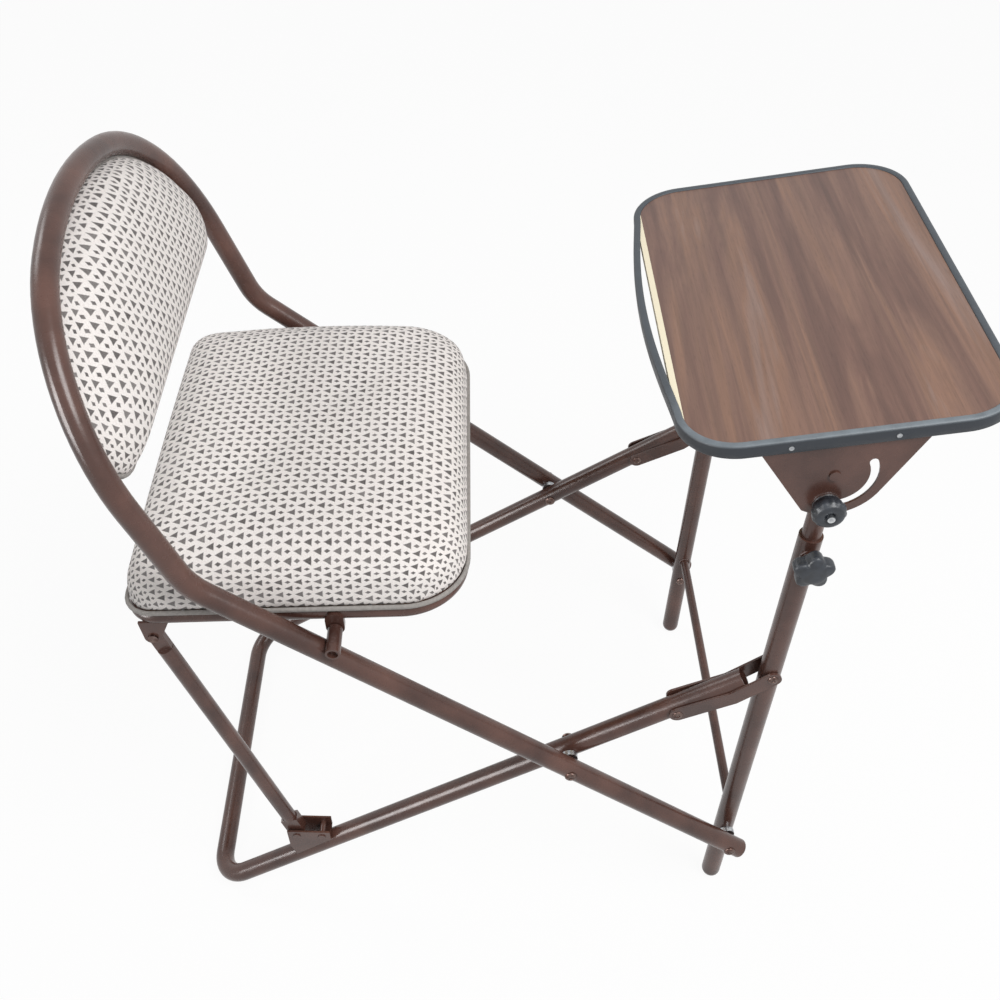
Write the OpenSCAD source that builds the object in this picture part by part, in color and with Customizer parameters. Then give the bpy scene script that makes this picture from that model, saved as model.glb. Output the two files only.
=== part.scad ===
// Folding prayer chair with a reading desk on telescoping posts.
// X points the way the sitter faces, Y to the sitter's left, Z up. Millimetres.

/* [Frame tubes] */
// Outer diameter of the back, base and leg tubes
tube_d = 20; // [18:1:22]
// Wall of every tube
tube_wall = 1.5; // [1:0.25:2]
// Distance of each base tube and desk leg from the middle of the chair
base_y = 178; // [160:2:196]
// Thickness of the spacer washers between the back tube and the tubes inside it
spacer_t = 5; // [4.5:0.5:7]

/* [Scissor] */
// Height of the scissor pivot above the floor
scissor_h = 255; // [240:5:270]
// Forward place of the scissor pivot
scissor_x = 37.1; // [27.1:1:47.1]
// Rise of the base tubes from the floor, in degrees
base_angle = 32.5; // [31:0.5:34]
// Fall of the back tubes towards the front, in degrees
back_angle = 41.3; // [40:0.5:42.5]
// Length of the base tubes in front of the scissor pivot
base_front_len = 188; // [184:2:190]
// Radius of the bends at the rear floor bar
base_bend_r = 36; // [30:2:50]

/* [Back] */
// Length of the back tube from the scissor pivot to the bend at the seat
back_up_len = 415; // [400:5:425]
// Length of the back tube from the scissor pivot to its lower end
back_down_len = 240; // [238:2:250]
// Lean of the backrest from upright, in degrees
recline = 18.35; // [17.85:0.5:18.85]
// Radius of the bend between the lower and the upper part of the back tube
back_bend_r = 60; // [50:5:80]
// Height of the loop from the bend to its top
loop_h = 254; // [246:2:270]
// Distance of the shoulders' centres from the middle of the loop
shoulder_in = 42; // [35:7:49]
// Height of the backrest's lower edge above the bend
rest_low = 106; // [98:2:116]
// Gap between the backrest and the loop
rest_gap = 2.5; // [2:0.5:4]
// Distance of the backrest's rear face behind the middle of the loop's tube
rest_behind = 9; // [8:0.5:9.5]
// Thickness of the backrest at its edge
rest_edge_t = 13; // [11:1:20]
// How far the backrest's middle bulges in front of its edge
rest_crown = 18; // [10:1:22]

/* [Seat] */
// Height of the seat ring's centre line above the seat's pivot
ring_above = 11.4; // [9.5:0.1:15]
// Outer diameter of the seat ring's tube
ring_d = 14; // [12:1:15]
// Length of the seat
seat_len = 291; // [280:1:300]
// How far the seat reaches in front of its pivot
seat_ahead = 114; // [108:1:120]
// Radius of the seat's front corners
seat_front_r = 58; // [50:2:70]
// Radius of the seat's rear corners
seat_rear_r = 26; // [22:2:34]
// Distance of the seat pivot up the back tube from the scissor pivot
seat_pivot_at = 285; // [280:1:290]
// Height of the cushion's sides
cushion_h = 44; // [34:1:50]
// How far the cushion's middle rises above its sides
cushion_crown = 13; // [8:1:18]
// How far the cushion stands out past the ring
cushion_over = 2; // [1:0.5:2.5]

/* [Struts] */
// Diameter of the rear struts
strut_d = 15; // [14:0.5:15]
// Distance of the strut's upper pin in front of the seat's rear edge
strut_in = 19; // [17:1:27]
// Distance of the strut's upper pin below the seat ring's centre line
strut_below = 23; // [22:0.5:25]
// Distance of the bracket's pin down the base tube from the scissor pivot
bracket_at = 313; // [308:1:318]
// Height of the bracket's pin above the base tube's centre line
bracket_pin_h = 36.5; // [34:0.5:40]

/* [Desk legs] */
// Distance of the leg pivot down the back tube from the scissor pivot
leg_pivot_at = 227; // [222:1:227]
// Forward lean of the desk legs, in degrees
leg_lean = 2.3; // [1.8:0.1:2.8]
// Distance along the leg from its pivot up to the open rim
leg_rim_up = 438; // [425:1:445]
// Distance along the leg from its pivot up to the link plates' rivet
link_up = 263; // [258:1:266]
// Distance of the link plates' rivet up the base tube from the scissor pivot
link_at = 118; // [114:1:120]
// Height of the cross rod above the leg pivot
rod_up = 35; // [30:1:45]
// Diameter of the cross rod
rod_d = 10; // [8:1:12]

/* [Desk] */
// Diameter of the telescoping posts
post_d = 16; // [14:1:16]
// Distance along the leg from the rim up to the desk's tilt pivot
desk_pivot_up = 74; // [72:1:84]
// Depth of the desk board, from the sitter's side to the front
desk_len = 251; // [240:1:260]
// Half of the width of the desk board
desk_half_w = 189; // [189:1:200]
// Thickness of the desk board
board_t = 11; // [10:0.5:16]
// Radius of the desk's corners
desk_corner_r = 45; // [40:1:55]
// Distance from the tilt pivot back to the board's sitter side
desk_behind = 112; // [104:1:116]
// Height of the board's underside over the tilt pivot
desk_over = 30.5; // [26:0.5:32]
// Slope of the desk as it stands in use, in degrees
desk_slope = 7.3; // [4:0.1:10]
// Radius of the tilt slot's middle line
slot_r = 30; // [28:0.5:31]
// Width of the tilt slot
slot_w = 6.8; // [6.6:0.1:7.4]
// Largest extra slope of the desk from use, in degrees
swing_up = 6; // [3:1:8]
// Width across the tilt knobs
tilt_knob_d = 27; // [24:1:30]
// Width across the height knobs
height_knob_d = 35; // [32:1:40]

/* [Hidden] */

brown = "#6b4a42";
steel = "#b9bbbd";
slate = "#3a3f48";
fabric = "#d8cfcb";
timber = "#7a5448";
core = "#f2e6c8";

$fn = 64;
// How far a cut runs past the face that it cuts
over = 1;
// Running clearance of a pin in its hole, on the radius
fit = 0.05;
// Clearance between two pieces that lie side by side
side_gap = 0.3;
// Play between a curved piece and a welded one that is shaped to it
weld_gap = 0.05;

tube_r = tube_d / 2;
bore_d = tube_d - 2 * tube_wall;
back_y = base_y + tube_d + spacer_t;
// Diameter of the rivets at the scissor, the legs and the links
rivet_d = 7;
// Diameter and height of a rivet's head
rivet_head_d = 12;
rivet_head_h = 2;
// Height and diameter of a link rivet's head, which passes beside the back tube
low_head_h = 1.6;
link_head_d = 10;

// Side view places, as [x, z]
function along(p, angle, dist) = [p[0] + dist * cos(angle), p[1] + dist * sin(angle)];
function angle_to(p, q) = atan2(q[1] - p[1], q[0] - p[0]);
function dist_to(p, q) = norm([q[0] - p[0], q[1] - p[1]]);

scissor = [scissor_x, scissor_h];
base_rear_len = (scissor_h - tube_r) / sin(base_angle);
base_rear = along(scissor, 180 + base_angle, base_rear_len);
base_len = base_rear_len + base_front_len;
back_end = along(scissor, -back_angle, back_down_len);
back_corner = along(scissor, 180 - back_angle, back_up_len);

bush_d = 13;
bush_len = 28;
bush_bore = 9;
// How far a bush is let into the tube that it is welded on
bush_sink = 1.2;
seat_pivot = along(along(scissor, 180 - back_angle, seat_pivot_at), 90 - back_angle,
    tube_r + bush_d / 2 - bush_sink);
ring_r = ring_d / 2;
ring_h = seat_pivot[1] + ring_above;
seat_front_x = seat_pivot[0] + seat_ahead;
seat_rear_x = seat_front_x - seat_len;
ring_y = base_y;
strut_pin = [seat_rear_x + strut_in, ring_h - strut_below];
bracket_pin = along(along(scissor, 180 + base_angle, bracket_at), 90 + base_angle, bracket_pin_h);
strut_angle = angle_to(strut_pin, bracket_pin);
strut_len = dist_to(strut_pin, bracket_pin);

leg_pivot = along(scissor, -back_angle, leg_pivot_at);
leg_angle = 90 - leg_lean;
leg_link = along(leg_pivot, leg_angle, link_up);
base_link = along(scissor, base_angle, link_at);
link_angle = angle_to(base_link, leg_link);
link_len = dist_to(base_link, leg_link);
leg_down_len = leg_pivot[1] / sin(leg_angle);
tilt_up = leg_rim_up + desk_pivot_up;
// Distance of the height stud below the leg's rim
height_stud_down = 17;
height_up = leg_rim_up - height_stud_down;

board_low = desk_over;
board_top = desk_over + board_t;

// Puts a side view shape at a place in the XZ plane, facing the sitter's right
module at(p, y = 0) translate([p[0], y, p[1]]) children();

// A cylinder along Y from y0 to y1 at a side view place
module pin(p, d, y0, y1) translate([p[0], y0, p[1]]) rotate([-90, 0, 0]) cylinder(d = d, h = y1 - y0);

// Both sides of the chair: the left as drawn and its mirror image
module both_sides() {
    children();
    mirror([0, 1, 0]) children();
}

// Frame of the inclined base: x runs up along the side tubes from the floor bar
module base_frame() at(base_rear) rotate([0, -base_angle, 0]) children();

// Frame of the back's loop: z runs up along the leaning loop from the bend
module loop_frame() at(back_corner) rotate([0, -recline, 0]) children();

// Frame of a desk leg: z runs up along the leg from its pivot
module leg_frame(y = 0) at(leg_pivot, y) rotate([0, leg_lean, 0]) children();

// Frame of the desk: z is square to the board, the tilt pivot is at the origin
module desk_frame() leg_frame() translate([0, 0, tilt_up]) rotate([0, -leg_lean - desk_slope, 0]) children();

// Arc of a round bar in the XY plane
module bar_arc(r, d, from, turn) rotate([0, 0, from]) rotate_extrude(angle = turn) translate([r, 0]) circle(d = d);

// A plate in the XZ plane from y0 to y1
module plate(y0, y1) translate([0, y1, 0]) rotate([90, 0, 0]) linear_extrude(y1 - y0) children();

// Rectangle with four round corners
module round_rect(x0, x1, half_w, r) {
    translate([x0 + r, -half_w]) square([x1 - x0 - 2 * r, 2 * half_w]);
    translate([x0, r - half_w]) square([x1 - x0, 2 * (half_w - r)]);
    for (x = [x0 + r, x1 - r], y = [r - half_w, half_w - r]) translate([x, y]) circle(r);
}

// Seat outline: large round corners at the front, smaller ones at the rear
module seat_outline(x0, x1, half_w, r_rear, r_front) {
    translate([x0 + r_rear, -half_w]) square([x1 - x0 - r_rear - r_front, 2 * half_w]);
    translate([x0, r_rear - half_w]) square([r_rear + over, 2 * (half_w - r_rear)]);
    translate([x1 - r_front - over, r_front - half_w]) square([r_front + over, 2 * (half_w - r_front)]);
    for (y = [-1, 1]) {
        translate([x0 + r_rear, y * (half_w - r_rear)]) circle(r_rear);
        translate([x1 - r_front, y * (half_w - r_front)]) circle(r_front);
    }
}

// A strip with round ends between two points
module strip2d(p, q, w) {
    translate(p) circle(d = w);
    translate(q) circle(d = w);
    translate(p) rotate(angle_to(p, q)) translate([0, -w / 2]) square([dist_to(p, q), w]);
}

// Points of an arc about a centre
function arc_points(c, r, from, to, n) =
    [for (i = [0 : n]) let (a = from + (to - from) * i / n) [c[0] + r * cos(a), c[1] + r * sin(a)]];

// Closed cushion form. The outline is drawn towards its middle by a share at each
// level, and each level has a height; faces are triangles, the ends close on a point.
module cushion_form(outline, middle, shares, heights) {
    n = len(outline);
    m = len(shares);
    levels = [for (k = [0 : m - 1], p = outline)
        [middle[0] + (p[0] - middle[0]) * (1 - shares[k]), middle[1] + (p[1] - middle[1]) * (1 - shares[k]), heights[k]]];
    low = m * n;
    high = m * n + 1;
    points = concat(levels, [[middle[0], middle[1], heights[0]]], [[middle[0], middle[1], heights[m - 1]]]);
    sides = [for (k = [0 : m - 2], i = [0 : n - 1], half = [0, 1]) let (j = (i + 1) % n)
        half == 0 ? [k * n + i, (k + 1) * n + i, k * n + j] : [k * n + j, (k + 1) * n + i, (k + 1) * n + j]];
    bottom = [for (i = [0 : n - 1]) [low, i, (i + 1) % n]];
    top = [for (i = [0 : n - 1]) [high, (m - 1) * n + (i + 1) % n, (m - 1) * n + i]];
    polyhedron(points = points, faces = concat(sides, bottom, top));
}

// Base

// Path of the base: the rear floor bar, two bends and the two side tubes
module base_path(d, past) {
    for (s = [-1, 1]) {
        translate([base_bend_r, s * base_y, 0]) rotate([0, 90, 0]) cylinder(d = d, h = base_len - base_bend_r + past);
        translate([base_bend_r, s * (base_y - base_bend_r), 0]) bar_arc(base_bend_r, d, s > 0 ? 90 : 180, 90);
    }
    translate([0, base_bend_r - base_y, 0]) rotate([-90, 0, 0]) cylinder(d = d, h = 2 * (base_y - base_bend_r));
}

module base_tube() color(brown) difference() {
    base_frame() difference() {
        base_path(tube_d, 0);
        base_path(bore_d, over);
    }
    for (p = [scissor, base_link]) pin(p, rivet_d + 2 * fit, -base_y - tube_d, base_y + tube_d);
}

// Channel brackets on the base tubes, open upwards, that the struts stand in
bracket_w = tube_d;
bracket_t = 2;
bracket_pin_d = 6;
bracket_run = 26;
bracket_edge = 9;

module strut_brackets() color(brown) both_sides() difference() {
    translate([0, base_y, 0]) difference() {
        plate(-bracket_w / 2, bracket_w / 2) polygon([
            along(bracket_pin, 180, bracket_edge) + [0, bracket_edge],
            bracket_pin + [bracket_run + bracket_edge, bracket_edge / 2],
            bracket_pin + [bracket_run + bracket_edge, -bracket_edge],
            bracket_pin + [-bracket_edge / 2, -bracket_pin_h],
            bracket_pin + [-bracket_edge, -bracket_pin_h / 2]
        ]);
        at(scissor) rotate([0, -base_angle, 0])
            translate([-2 * bracket_at, bracket_t - bracket_w / 2, tube_r + bracket_t])
                cube([2 * bracket_at, bracket_w - 2 * bracket_t, 2 * bracket_pin_h]);
    }
    translate([0, base_y, 0]) at(scissor) rotate([0, -90 - base_angle, 0])
        cylinder(r = tube_r + weld_gap, h = 2 * bracket_at);
    for (p = [bracket_pin, bracket_pin + [bracket_run, -bracket_edge / 3]])
        pin(p, bracket_pin_d, base_y - bracket_w, base_y + bracket_w);
}

// Two pins across each bracket: the rear one carries the strut's foot
module bracket_pins() color(brown) both_sides()
    for (p = [bracket_pin, bracket_pin + [bracket_run, -bracket_edge / 3]]) {
        pin(p, bracket_pin_d, base_y - bracket_w / 2 - bracket_t, base_y + bracket_w / 2 + bracket_t / 2);
        for (y = [base_y - bracket_w / 2 - bracket_t, base_y + bracket_w / 2])
            pin(p, bracket_pin_d + bracket_t, y, y + bracket_t / 2);
    }

// Rivet through the back tube and the tube inside it, with a head at each end
module pivot_rivet(p) {
    inner = base_y - tube_r - side_gap;
    pin(p, rivet_d, inner, back_y + tube_r + rivet_head_h);
    pin(p, rivet_head_d, inner - rivet_head_h, inner);
    pin(p, rivet_head_d, back_y + tube_r, back_y + tube_r + rivet_head_h);
}

module scissor_rivets() color(steel) both_sides() pivot_rivet(scissor);

// Spacer washers between the back tube and the tube inside it
spacer_d = 16;

module spacer(p) difference() {
    pin(p, spacer_d, base_y + tube_r + side_gap, back_y - tube_r);
    pin(p, rivet_d + 2 * fit, base_y, back_y);
}

module scissor_spacers() color(steel) both_sides() spacer(scissor);

// Back

// To a thousandth, so that neighbouring pieces of the tube meet in one face
function rounded(x) = round(x * 1000) / 1000;

bend_turn = 90 - back_angle - recline;
bend_tangent = rounded(back_bend_r * tan(bend_turn / 2));
// Way out and way up of the line on which each shoulder ends and the flatter crown begins
shoulder_ways = [7, 24];
shoulder_turn = atan2(shoulder_ways[1], shoulder_ways[0]);
shoulder_r = back_y - shoulder_in;
crown_r = shoulder_r + shoulder_in / cos(shoulder_turn);
arch_z = rounded(loop_h - crown_r + shoulder_in * tan(shoulder_turn));

// Sides of the round forms of this long tube
back_sides = 48;
back_low_len = back_up_len + back_down_len - bend_tangent;

// Path of the back tube: one bar from front end to front end over the loop
module back_path(d, past) loop_frame() {
    $fn = back_sides;
    both_sides() translate([0, back_y, 0]) {
        translate([0, 0, bend_tangent]) cylinder(d = d, h = arch_z - bend_tangent);
        translate([back_bend_r, 0, bend_tangent]) {
            rotate([90, 0, 0]) bar_arc(back_bend_r, d, 180, bend_turn);
            rotate([0, -bend_turn, 0]) translate([-back_bend_r, 0, -back_low_len - past])
                cylinder(d = d, h = back_low_len + past);
        }
        translate([0, -shoulder_r, arch_z]) rotate([90, 0, 90]) bar_arc(shoulder_r, d, 0, shoulder_turn);
    }
    translate([0, 0, arch_z - shoulder_in * tan(shoulder_turn)]) rotate([90, 0, 90])
        bar_arc(crown_r, d, shoulder_turn, 180 - 2 * shoulder_turn);
}

module back_tube() color(brown) difference() {
    back_path(tube_d, 0);
    back_path(bore_d, over);
    for (p = [scissor, leg_pivot]) pin(p, rivet_d + 2 * fit, -back_y - tube_d, back_y + tube_d);
}

// Domed plugs in the back tube's lower ends
cap_h = 6;
cap_plug = 8;

module back_end_caps() color(brown) both_sides() at(back_end, back_y) rotate([0, 90 + back_angle, 0]) {
    translate([0, 0, -cap_plug]) cylinder(d = bore_d - 2 * fit, h = cap_plug);
    intersection() {
        cylinder(d = tube_d, h = cap_h);
        translate([0, 0, cap_h - tube_d]) sphere(r = tube_d);
    }
}

// Bushes welded on top of the back tubes, in which the seat turns
bush_out = 14;

module seat_pivot_bushes() color(brown) both_sides() difference() {
    pin(seat_pivot, bush_d, back_y + bush_out - bush_len, back_y + bush_out);
    pin(seat_pivot, bush_bore + 2 * fit, base_y, back_y + tube_d);
    translate([0, back_y, 0]) at(scissor) rotate([0, back_angle - 90, 0])
        cylinder(r = tube_r + weld_gap, h = back_up_len);
}

// Backrest outline in the loop frame, as [y, z]: it follows the loop above a straight lower edge
rest_in_r = shoulder_r - tube_r - rest_gap;
rest_corner_r = 30;
rest_board_t = 5;
// Shares by which the board and the cushion's pocket are drawn in from the outline
rest_board_share = 0.06;
rest_pocket_share = 0.045;
rest_corner_z = rest_low + rest_corner_r;
rest_corner_y = shoulder_in + sqrt(pow(rest_in_r - rest_corner_r, 2) - pow(rest_corner_z - arch_z, 2));
rest_corner_a = atan2(rest_corner_z - arch_z, rest_corner_y - shoulder_in);
crown_step = (180 - 2 * shoulder_turn) / 5;
shoulder_step = (shoulder_turn - rest_corner_a) / 8;

function rest_outline() = concat(
    arc_points([rest_corner_y, rest_corner_z], rest_corner_r, -90, rest_corner_a, 8),
    arc_points([shoulder_in, arch_z], rest_in_r, rest_corner_a + shoulder_step, shoulder_turn, 7),
    arc_points([0, arch_z - shoulder_in * tan(shoulder_turn)], crown_r - tube_r - rest_gap,
        shoulder_turn + crown_step, 180 - shoulder_turn - crown_step, 3),
    arc_points([-shoulder_in, arch_z], rest_in_r, 180 - shoulder_turn, 180 - rest_corner_a - shoulder_step, 7),
    arc_points([-rest_corner_y, rest_corner_z], rest_corner_r, 180 - rest_corner_a, 270, 8)
);
rest_middle = [0, (rest_low + loop_h) / 2];
rest_shares = [rest_pocket_share, rest_pocket_share, 0.02, 0, 0, 0.015, 0.06, 0.14, 0.26, 0.42, 0.6, 0.8];
rest_height_shares = [0, 0, 0, 0.2, 0.6, 0.86, 1, 1, 1, 1, 1, 1];
rest_crown_shares = [0, 0, 0, 0, 0, 0, 0.14, 0.34, 0.58, 0.8, 0.94, 1];

module backrest_board() color(timber) loop_frame() translate([-rest_behind, 0, 0]) rotate([90, 0, 90])
    linear_extrude(rest_board_t)
        polygon([for (p = rest_outline()) rest_middle + (p - rest_middle) * (1 - rest_board_share)]);

module backrest_cushion() color(fabric) loop_frame() translate([-rest_behind, 0, 0]) rotate([90, 0, 90])
    cushion_form(rest_outline(), rest_middle, rest_shares, [for (k = [0 : len(rest_shares) - 1])
        (k == 0 ? rest_board_t + side_gap : 0) + rest_height_shares[k] * rest_edge_t + rest_crown_shares[k] * rest_crown]);

// Tabs welded inside the loop behind the backrest, with one screw each
tab_t = 2;
tab_w = 18;
tab_reach = 44;
// Places of the tabs on each shoulder, in degrees above its middle
tab_angles = [28, 63];

module tab_places() loop_frame() translate([-rest_behind - tab_t, 0, 0]) both_sides()
    for (a = tab_angles) translate([0, shoulder_in, arch_z]) rotate([a, 0, 0]) translate([0, shoulder_r, 0]) children();

module backrest_tabs() color(brown) difference() {
    tab_places() translate([0, -tab_reach, -tab_w / 2]) cube([tab_t, tab_reach, tab_w]);
    back_path(tube_d + 2 * weld_gap, 0);
    tab_places() translate([-over, tab_w / 2 - tab_reach, 0]) rotate([0, 90, 0])
        cylinder(d = screw_d + 2 * fit, h = tab_t + 2 * over);
}

// Diameter of the small screws, of their heads, and their length in the board
screw_d = 3.6;
screw_head_d = 8;
screw_head_h = 1.8;

module backrest_screws() color(steel)
    tab_places() translate([-screw_head_h, tab_w / 2 - tab_reach, 0]) rotate([0, 90, 0]) {
        cylinder(d = screw_head_d, h = screw_head_h);
        cylinder(d = screw_d, h = screw_head_h + tab_t);
    }

// Seat

module ring_path(d) {
    x0 = seat_rear_x + ring_r;
    x1 = seat_front_x - ring_r;
    rear = seat_rear_r - ring_r;
    front = seat_front_r - ring_r;
    translate([0, 0, ring_h]) {
        for (s = [-1, 1]) {
            translate([x0 + rear, s * ring_y, 0]) rotate([0, 90, 0]) cylinder(d = d, h = x1 - x0 - rear - front);
            translate([x0 + rear, s * (ring_y - rear), 0]) bar_arc(rear, d, s > 0 ? 90 : 180, 90);
            translate([x1 - front, s * (ring_y - front), 0]) bar_arc(front, d, s > 0 ? 0 : 270, 90);
        }
        translate([x0, rear - ring_y, 0]) rotate([-90, 0, 0]) cylinder(d = d, h = 2 * (ring_y - rear));
        translate([x1, front - ring_y, 0]) rotate([-90, 0, 0]) cylinder(d = d, h = 2 * (ring_y - front));
    }
}

module seat_ring() color(brown) difference() {
    ring_path(ring_d);
    ring_path(ring_d - 2 * tube_wall);
}

seat_half_w = ring_y + ring_r + cushion_over;
seat_board_t = 6;
seat_board_in = 6;
seat_board_z = ring_h + ring_r;

module seat_board_outline(grow) seat_outline(seat_rear_x + seat_board_in - grow, seat_front_x - seat_board_in + grow,
    ring_y + ring_r - seat_board_in + grow, seat_rear_r - seat_board_in + grow, seat_front_r - seat_board_in + grow);

module seat_board() color(timber) difference() {
    translate([0, 0, seat_board_z]) linear_extrude(seat_board_t) seat_board_outline(0);
    for (p = seat_screw_places) translate([p[0], p[1], seat_board_z - over])
        cylinder(d = screw_d + 2 * fit, h = seat_board_t / 2 + over);
}

// Screws come up through the ring into the board
seat_screw_in = 50;
seat_screw_places = [for (s = [-1, 1], x = [seat_rear_x + seat_screw_in, seat_front_x - seat_front_r - seat_screw_in / 2])
    [x, s * ring_y]];

module seat_board_screws() color(steel) for (p = seat_screw_places)
    translate([p[0], p[1], seat_board_z]) cylinder(d = screw_d, h = seat_board_t / 2);

// The cushion wraps the board's edge and its hem meets the ring
hem_z = seat_board_z + side_gap;
cushion_x0 = seat_rear_x - cushion_over;
cushion_x1 = seat_front_x + cushion_over;
cushion_middle = [(cushion_x0 + cushion_x1) / 2, 0];
cushion_pocket_share = 0.035;
cushion_shares = [cushion_pocket_share, cushion_pocket_share, 0.01, 0, 0, 0.012, 0.04, 0.1, 0.2, 0.34, 0.52, 0.76];
cushion_height_shares = [0, 0, 0, 0.25, 0.55, 0.78, 0.93, 1, 1, 1, 1, 1];
cushion_crown_shares = [0, 0, 0, 0, 0, 0, 0, 0.18, 0.42, 0.68, 0.88, 1];

function seat_cushion_outline() = concat(
    arc_points([cushion_x1 - seat_front_r, seat_half_w - seat_front_r], seat_front_r, 0, 90, 9),
    arc_points([cushion_x0 + seat_rear_r, seat_half_w - seat_rear_r], seat_rear_r, 90, 180, 5),
    arc_points([cushion_x0 + seat_rear_r, seat_rear_r - seat_half_w], seat_rear_r, 180, 270, 5),
    arc_points([cushion_x1 - seat_front_r, seat_front_r - seat_half_w], seat_front_r, 270, 360, 9)
);

module seat_cushion() color(fabric) translate([0, 0, hem_z])
    cushion_form(seat_cushion_outline(), cushion_middle, cushion_shares, [for (k = [0 : len(cushion_shares) - 1])
        (k == 0 ? seat_board_t : 0) + cushion_height_shares[k] * cushion_h + cushion_crown_shares[k] * cushion_crown]);

// Pins that carry the seat in the back tube's bushes, each on a lug welded to the ring
pivot_lug_t = 3;
pivot_lug_w = 16;
pivot_lug_low = 2;

module seat_pivot_pins() color(brown) both_sides() {
    difference() {
        plate(ring_y, ring_y + ring_r + pivot_lug_t)
            strip2d(seat_pivot, [seat_pivot[0], ring_h - pivot_lug_low], pivot_lug_w);
        ring_path(ring_d + 2 * weld_gap);
        translate([seat_pivot[0] - pivot_lug_w, ring_y - over, 0]) cube([2 * pivot_lug_w, ring_r / 2 + over, 2 * ring_h]);
    }
    pin(seat_pivot, bush_bore, ring_y + ring_r + pivot_lug_t - over, back_y + tube_r);
}

// Fan shaped lugs welded under the ring's rear corners, either side of each strut
lug_t = 2.5;
blade_t = 6;
lug_in = blade_t / 2 + side_gap;
lug_top_w = 26;
lug_tip_w = 15;
lug_lean = -4;

module strut_lugs() color(brown) difference() {
    for (s = [-1, 1], side = [-1, 1]) translate([0, s * base_y + side * (lug_in + lug_t / 2), 0])
        plate(-lug_t / 2, lug_t / 2) {
            translate(strut_pin) circle(d = lug_tip_w);
            polygon([
                strut_pin + [-lug_tip_w / 2, 0],
                strut_pin + [-lug_top_w / 2 - lug_lean, strut_below - ring_r / 2],
                strut_pin + [lug_top_w / 2 - lug_lean, strut_below - ring_r / 2],
                strut_pin + [lug_tip_w / 2, 0]
            ]);
        }
    ring_path(ring_d + 2 * weld_gap);
    pin(strut_pin, strut_pin_d, -back_y, back_y);
}

strut_pin_d = 6;
strut_head_d = 9;

module strut_hinge_rivets() color(steel) both_sides() {
    pin(strut_pin, strut_pin_d, base_y - lug_in - lug_t, base_y + lug_in + lug_t);
    for (s = [-1, 1]) translate([0, s * (lug_in + lug_t + rivet_head_h / 2), 0])
        pin(strut_pin, strut_head_d, base_y - rivet_head_h / 2, base_y + rivet_head_h / 2);
}

// Strut: a tube with a flat eye at the top and a flat fork at the foot, which
// stands over the bracket's rear pin and lifts off it when the chair folds
eye_len = 21;
eye_w = 14;
fork_len = 24;
fork_w = 17;
fork_t = 12;

module strut(y) translate([0, y, 0]) at(strut_pin) rotate([0, 90 - strut_angle, 0]) {
    difference() {
        union() {
            translate([0, 0, eye_len]) cylinder(d = strut_d, h = strut_len - eye_len - fork_len);
            rotate([0, -90, 0]) plate(-blade_t / 2, blade_t / 2)
                strip2d([0, 0], [eye_len + strut_d / 4, 0], eye_w);
        }
        translate([0, 0, eye_len + strut_d])
            cylinder(d = strut_d - 2 * tube_wall, h = strut_len - eye_len - fork_len - strut_d + over);
        pin([0, 0], strut_pin_d + 2 * fit, -strut_d, strut_d);
    }
    translate([0, 0, strut_len]) rotate([0, -90, 0]) plate(-fork_t / 2, fork_t / 2) difference() {
        translate([-fork_len, -fork_w / 2]) square([fork_len, fork_w]);
        circle(d = bracket_pin_d + 2 * side_gap);
        translate([0, -bracket_pin_d / 2 - side_gap]) square([fork_w, bracket_pin_d + 2 * side_gap]);
    }
}

module left_strut() color(brown) strut(base_y);
module right_strut() color(brown) strut(-base_y);

// Desk legs

foot_r = tube_r;
leg_bore_d = post_d + 3 * fit;

module leg_tube(y) difference() {
    leg_frame(y) difference() {
        translate([0, 0, foot_r - leg_down_len]) cylinder(d = tube_d, h = leg_down_len - foot_r + leg_rim_up);
        translate([0, 0, -leg_down_len]) cylinder(d = leg_bore_d, h = leg_down_len + leg_rim_up + over);
        translate([0, 0, height_up]) rotate([y > 0 ? -90 : 90, 0, 0]) cylinder(d = height_stud_d + 2 * fit, h = tube_d);
    }
    pin(leg_pivot, rivet_d + 2 * fit, y - tube_d, y + tube_d);
}

module left_leg_tube() color(brown) leg_tube(base_y);
module right_leg_tube() color(brown) leg_tube(-base_y);

// Round plugs that the legs stand on
module leg_feet() color(brown) both_sides() leg_frame(base_y) translate([0, 0, foot_r - leg_down_len]) {
    intersection() {
        sphere(r = foot_r);
        translate([0, 0, -foot_r]) cylinder(d = tube_d, h = foot_r);
    }
    cylinder(d = post_d, h = cap_plug);
}

module leg_cross_rod() color(brown) difference() {
    leg_frame() translate([0, -base_y, rod_up]) rotate([-90, 0, 0]) cylinder(d = rod_d, h = 2 * base_y);
    for (s = [-1, 1]) leg_frame(s * base_y) cylinder(d = tube_d + 2 * weld_gap, h = leg_rim_up);
}

module leg_pivot_rivets() color(steel) both_sides() pivot_rivet(leg_pivot);

module leg_pivot_spacers() color(steel) both_sides() spacer(leg_pivot);

// Threaded bosses welded on the legs for the height studs
boss_d = 14;
boss_h = 4;
// Gap between a boss and the height knob's face
knob_gap = 1;
height_stud_d = 6;

module height_bosses() color(brown) both_sides() difference() {
    leg_frame(base_y) translate([0, 0, height_up]) rotate([-90, 0, 0])
        cylinder(d = boss_d, h = tube_r + boss_h - knob_gap);
    leg_frame(base_y) cylinder(d = tube_d + 2 * weld_gap, h = leg_rim_up + over);
    leg_frame(base_y) translate([0, 0, height_up]) rotate([-90, 0, 0])
        cylinder(d = height_stud_d + 2 * fit, h = tube_d + boss_h);
}

// Link plates, one on each side of the tubes

link_t = 2.2;
link_w = 16;
link_mid_share = 0.56;
link_dip_share = 0.06;

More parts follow.
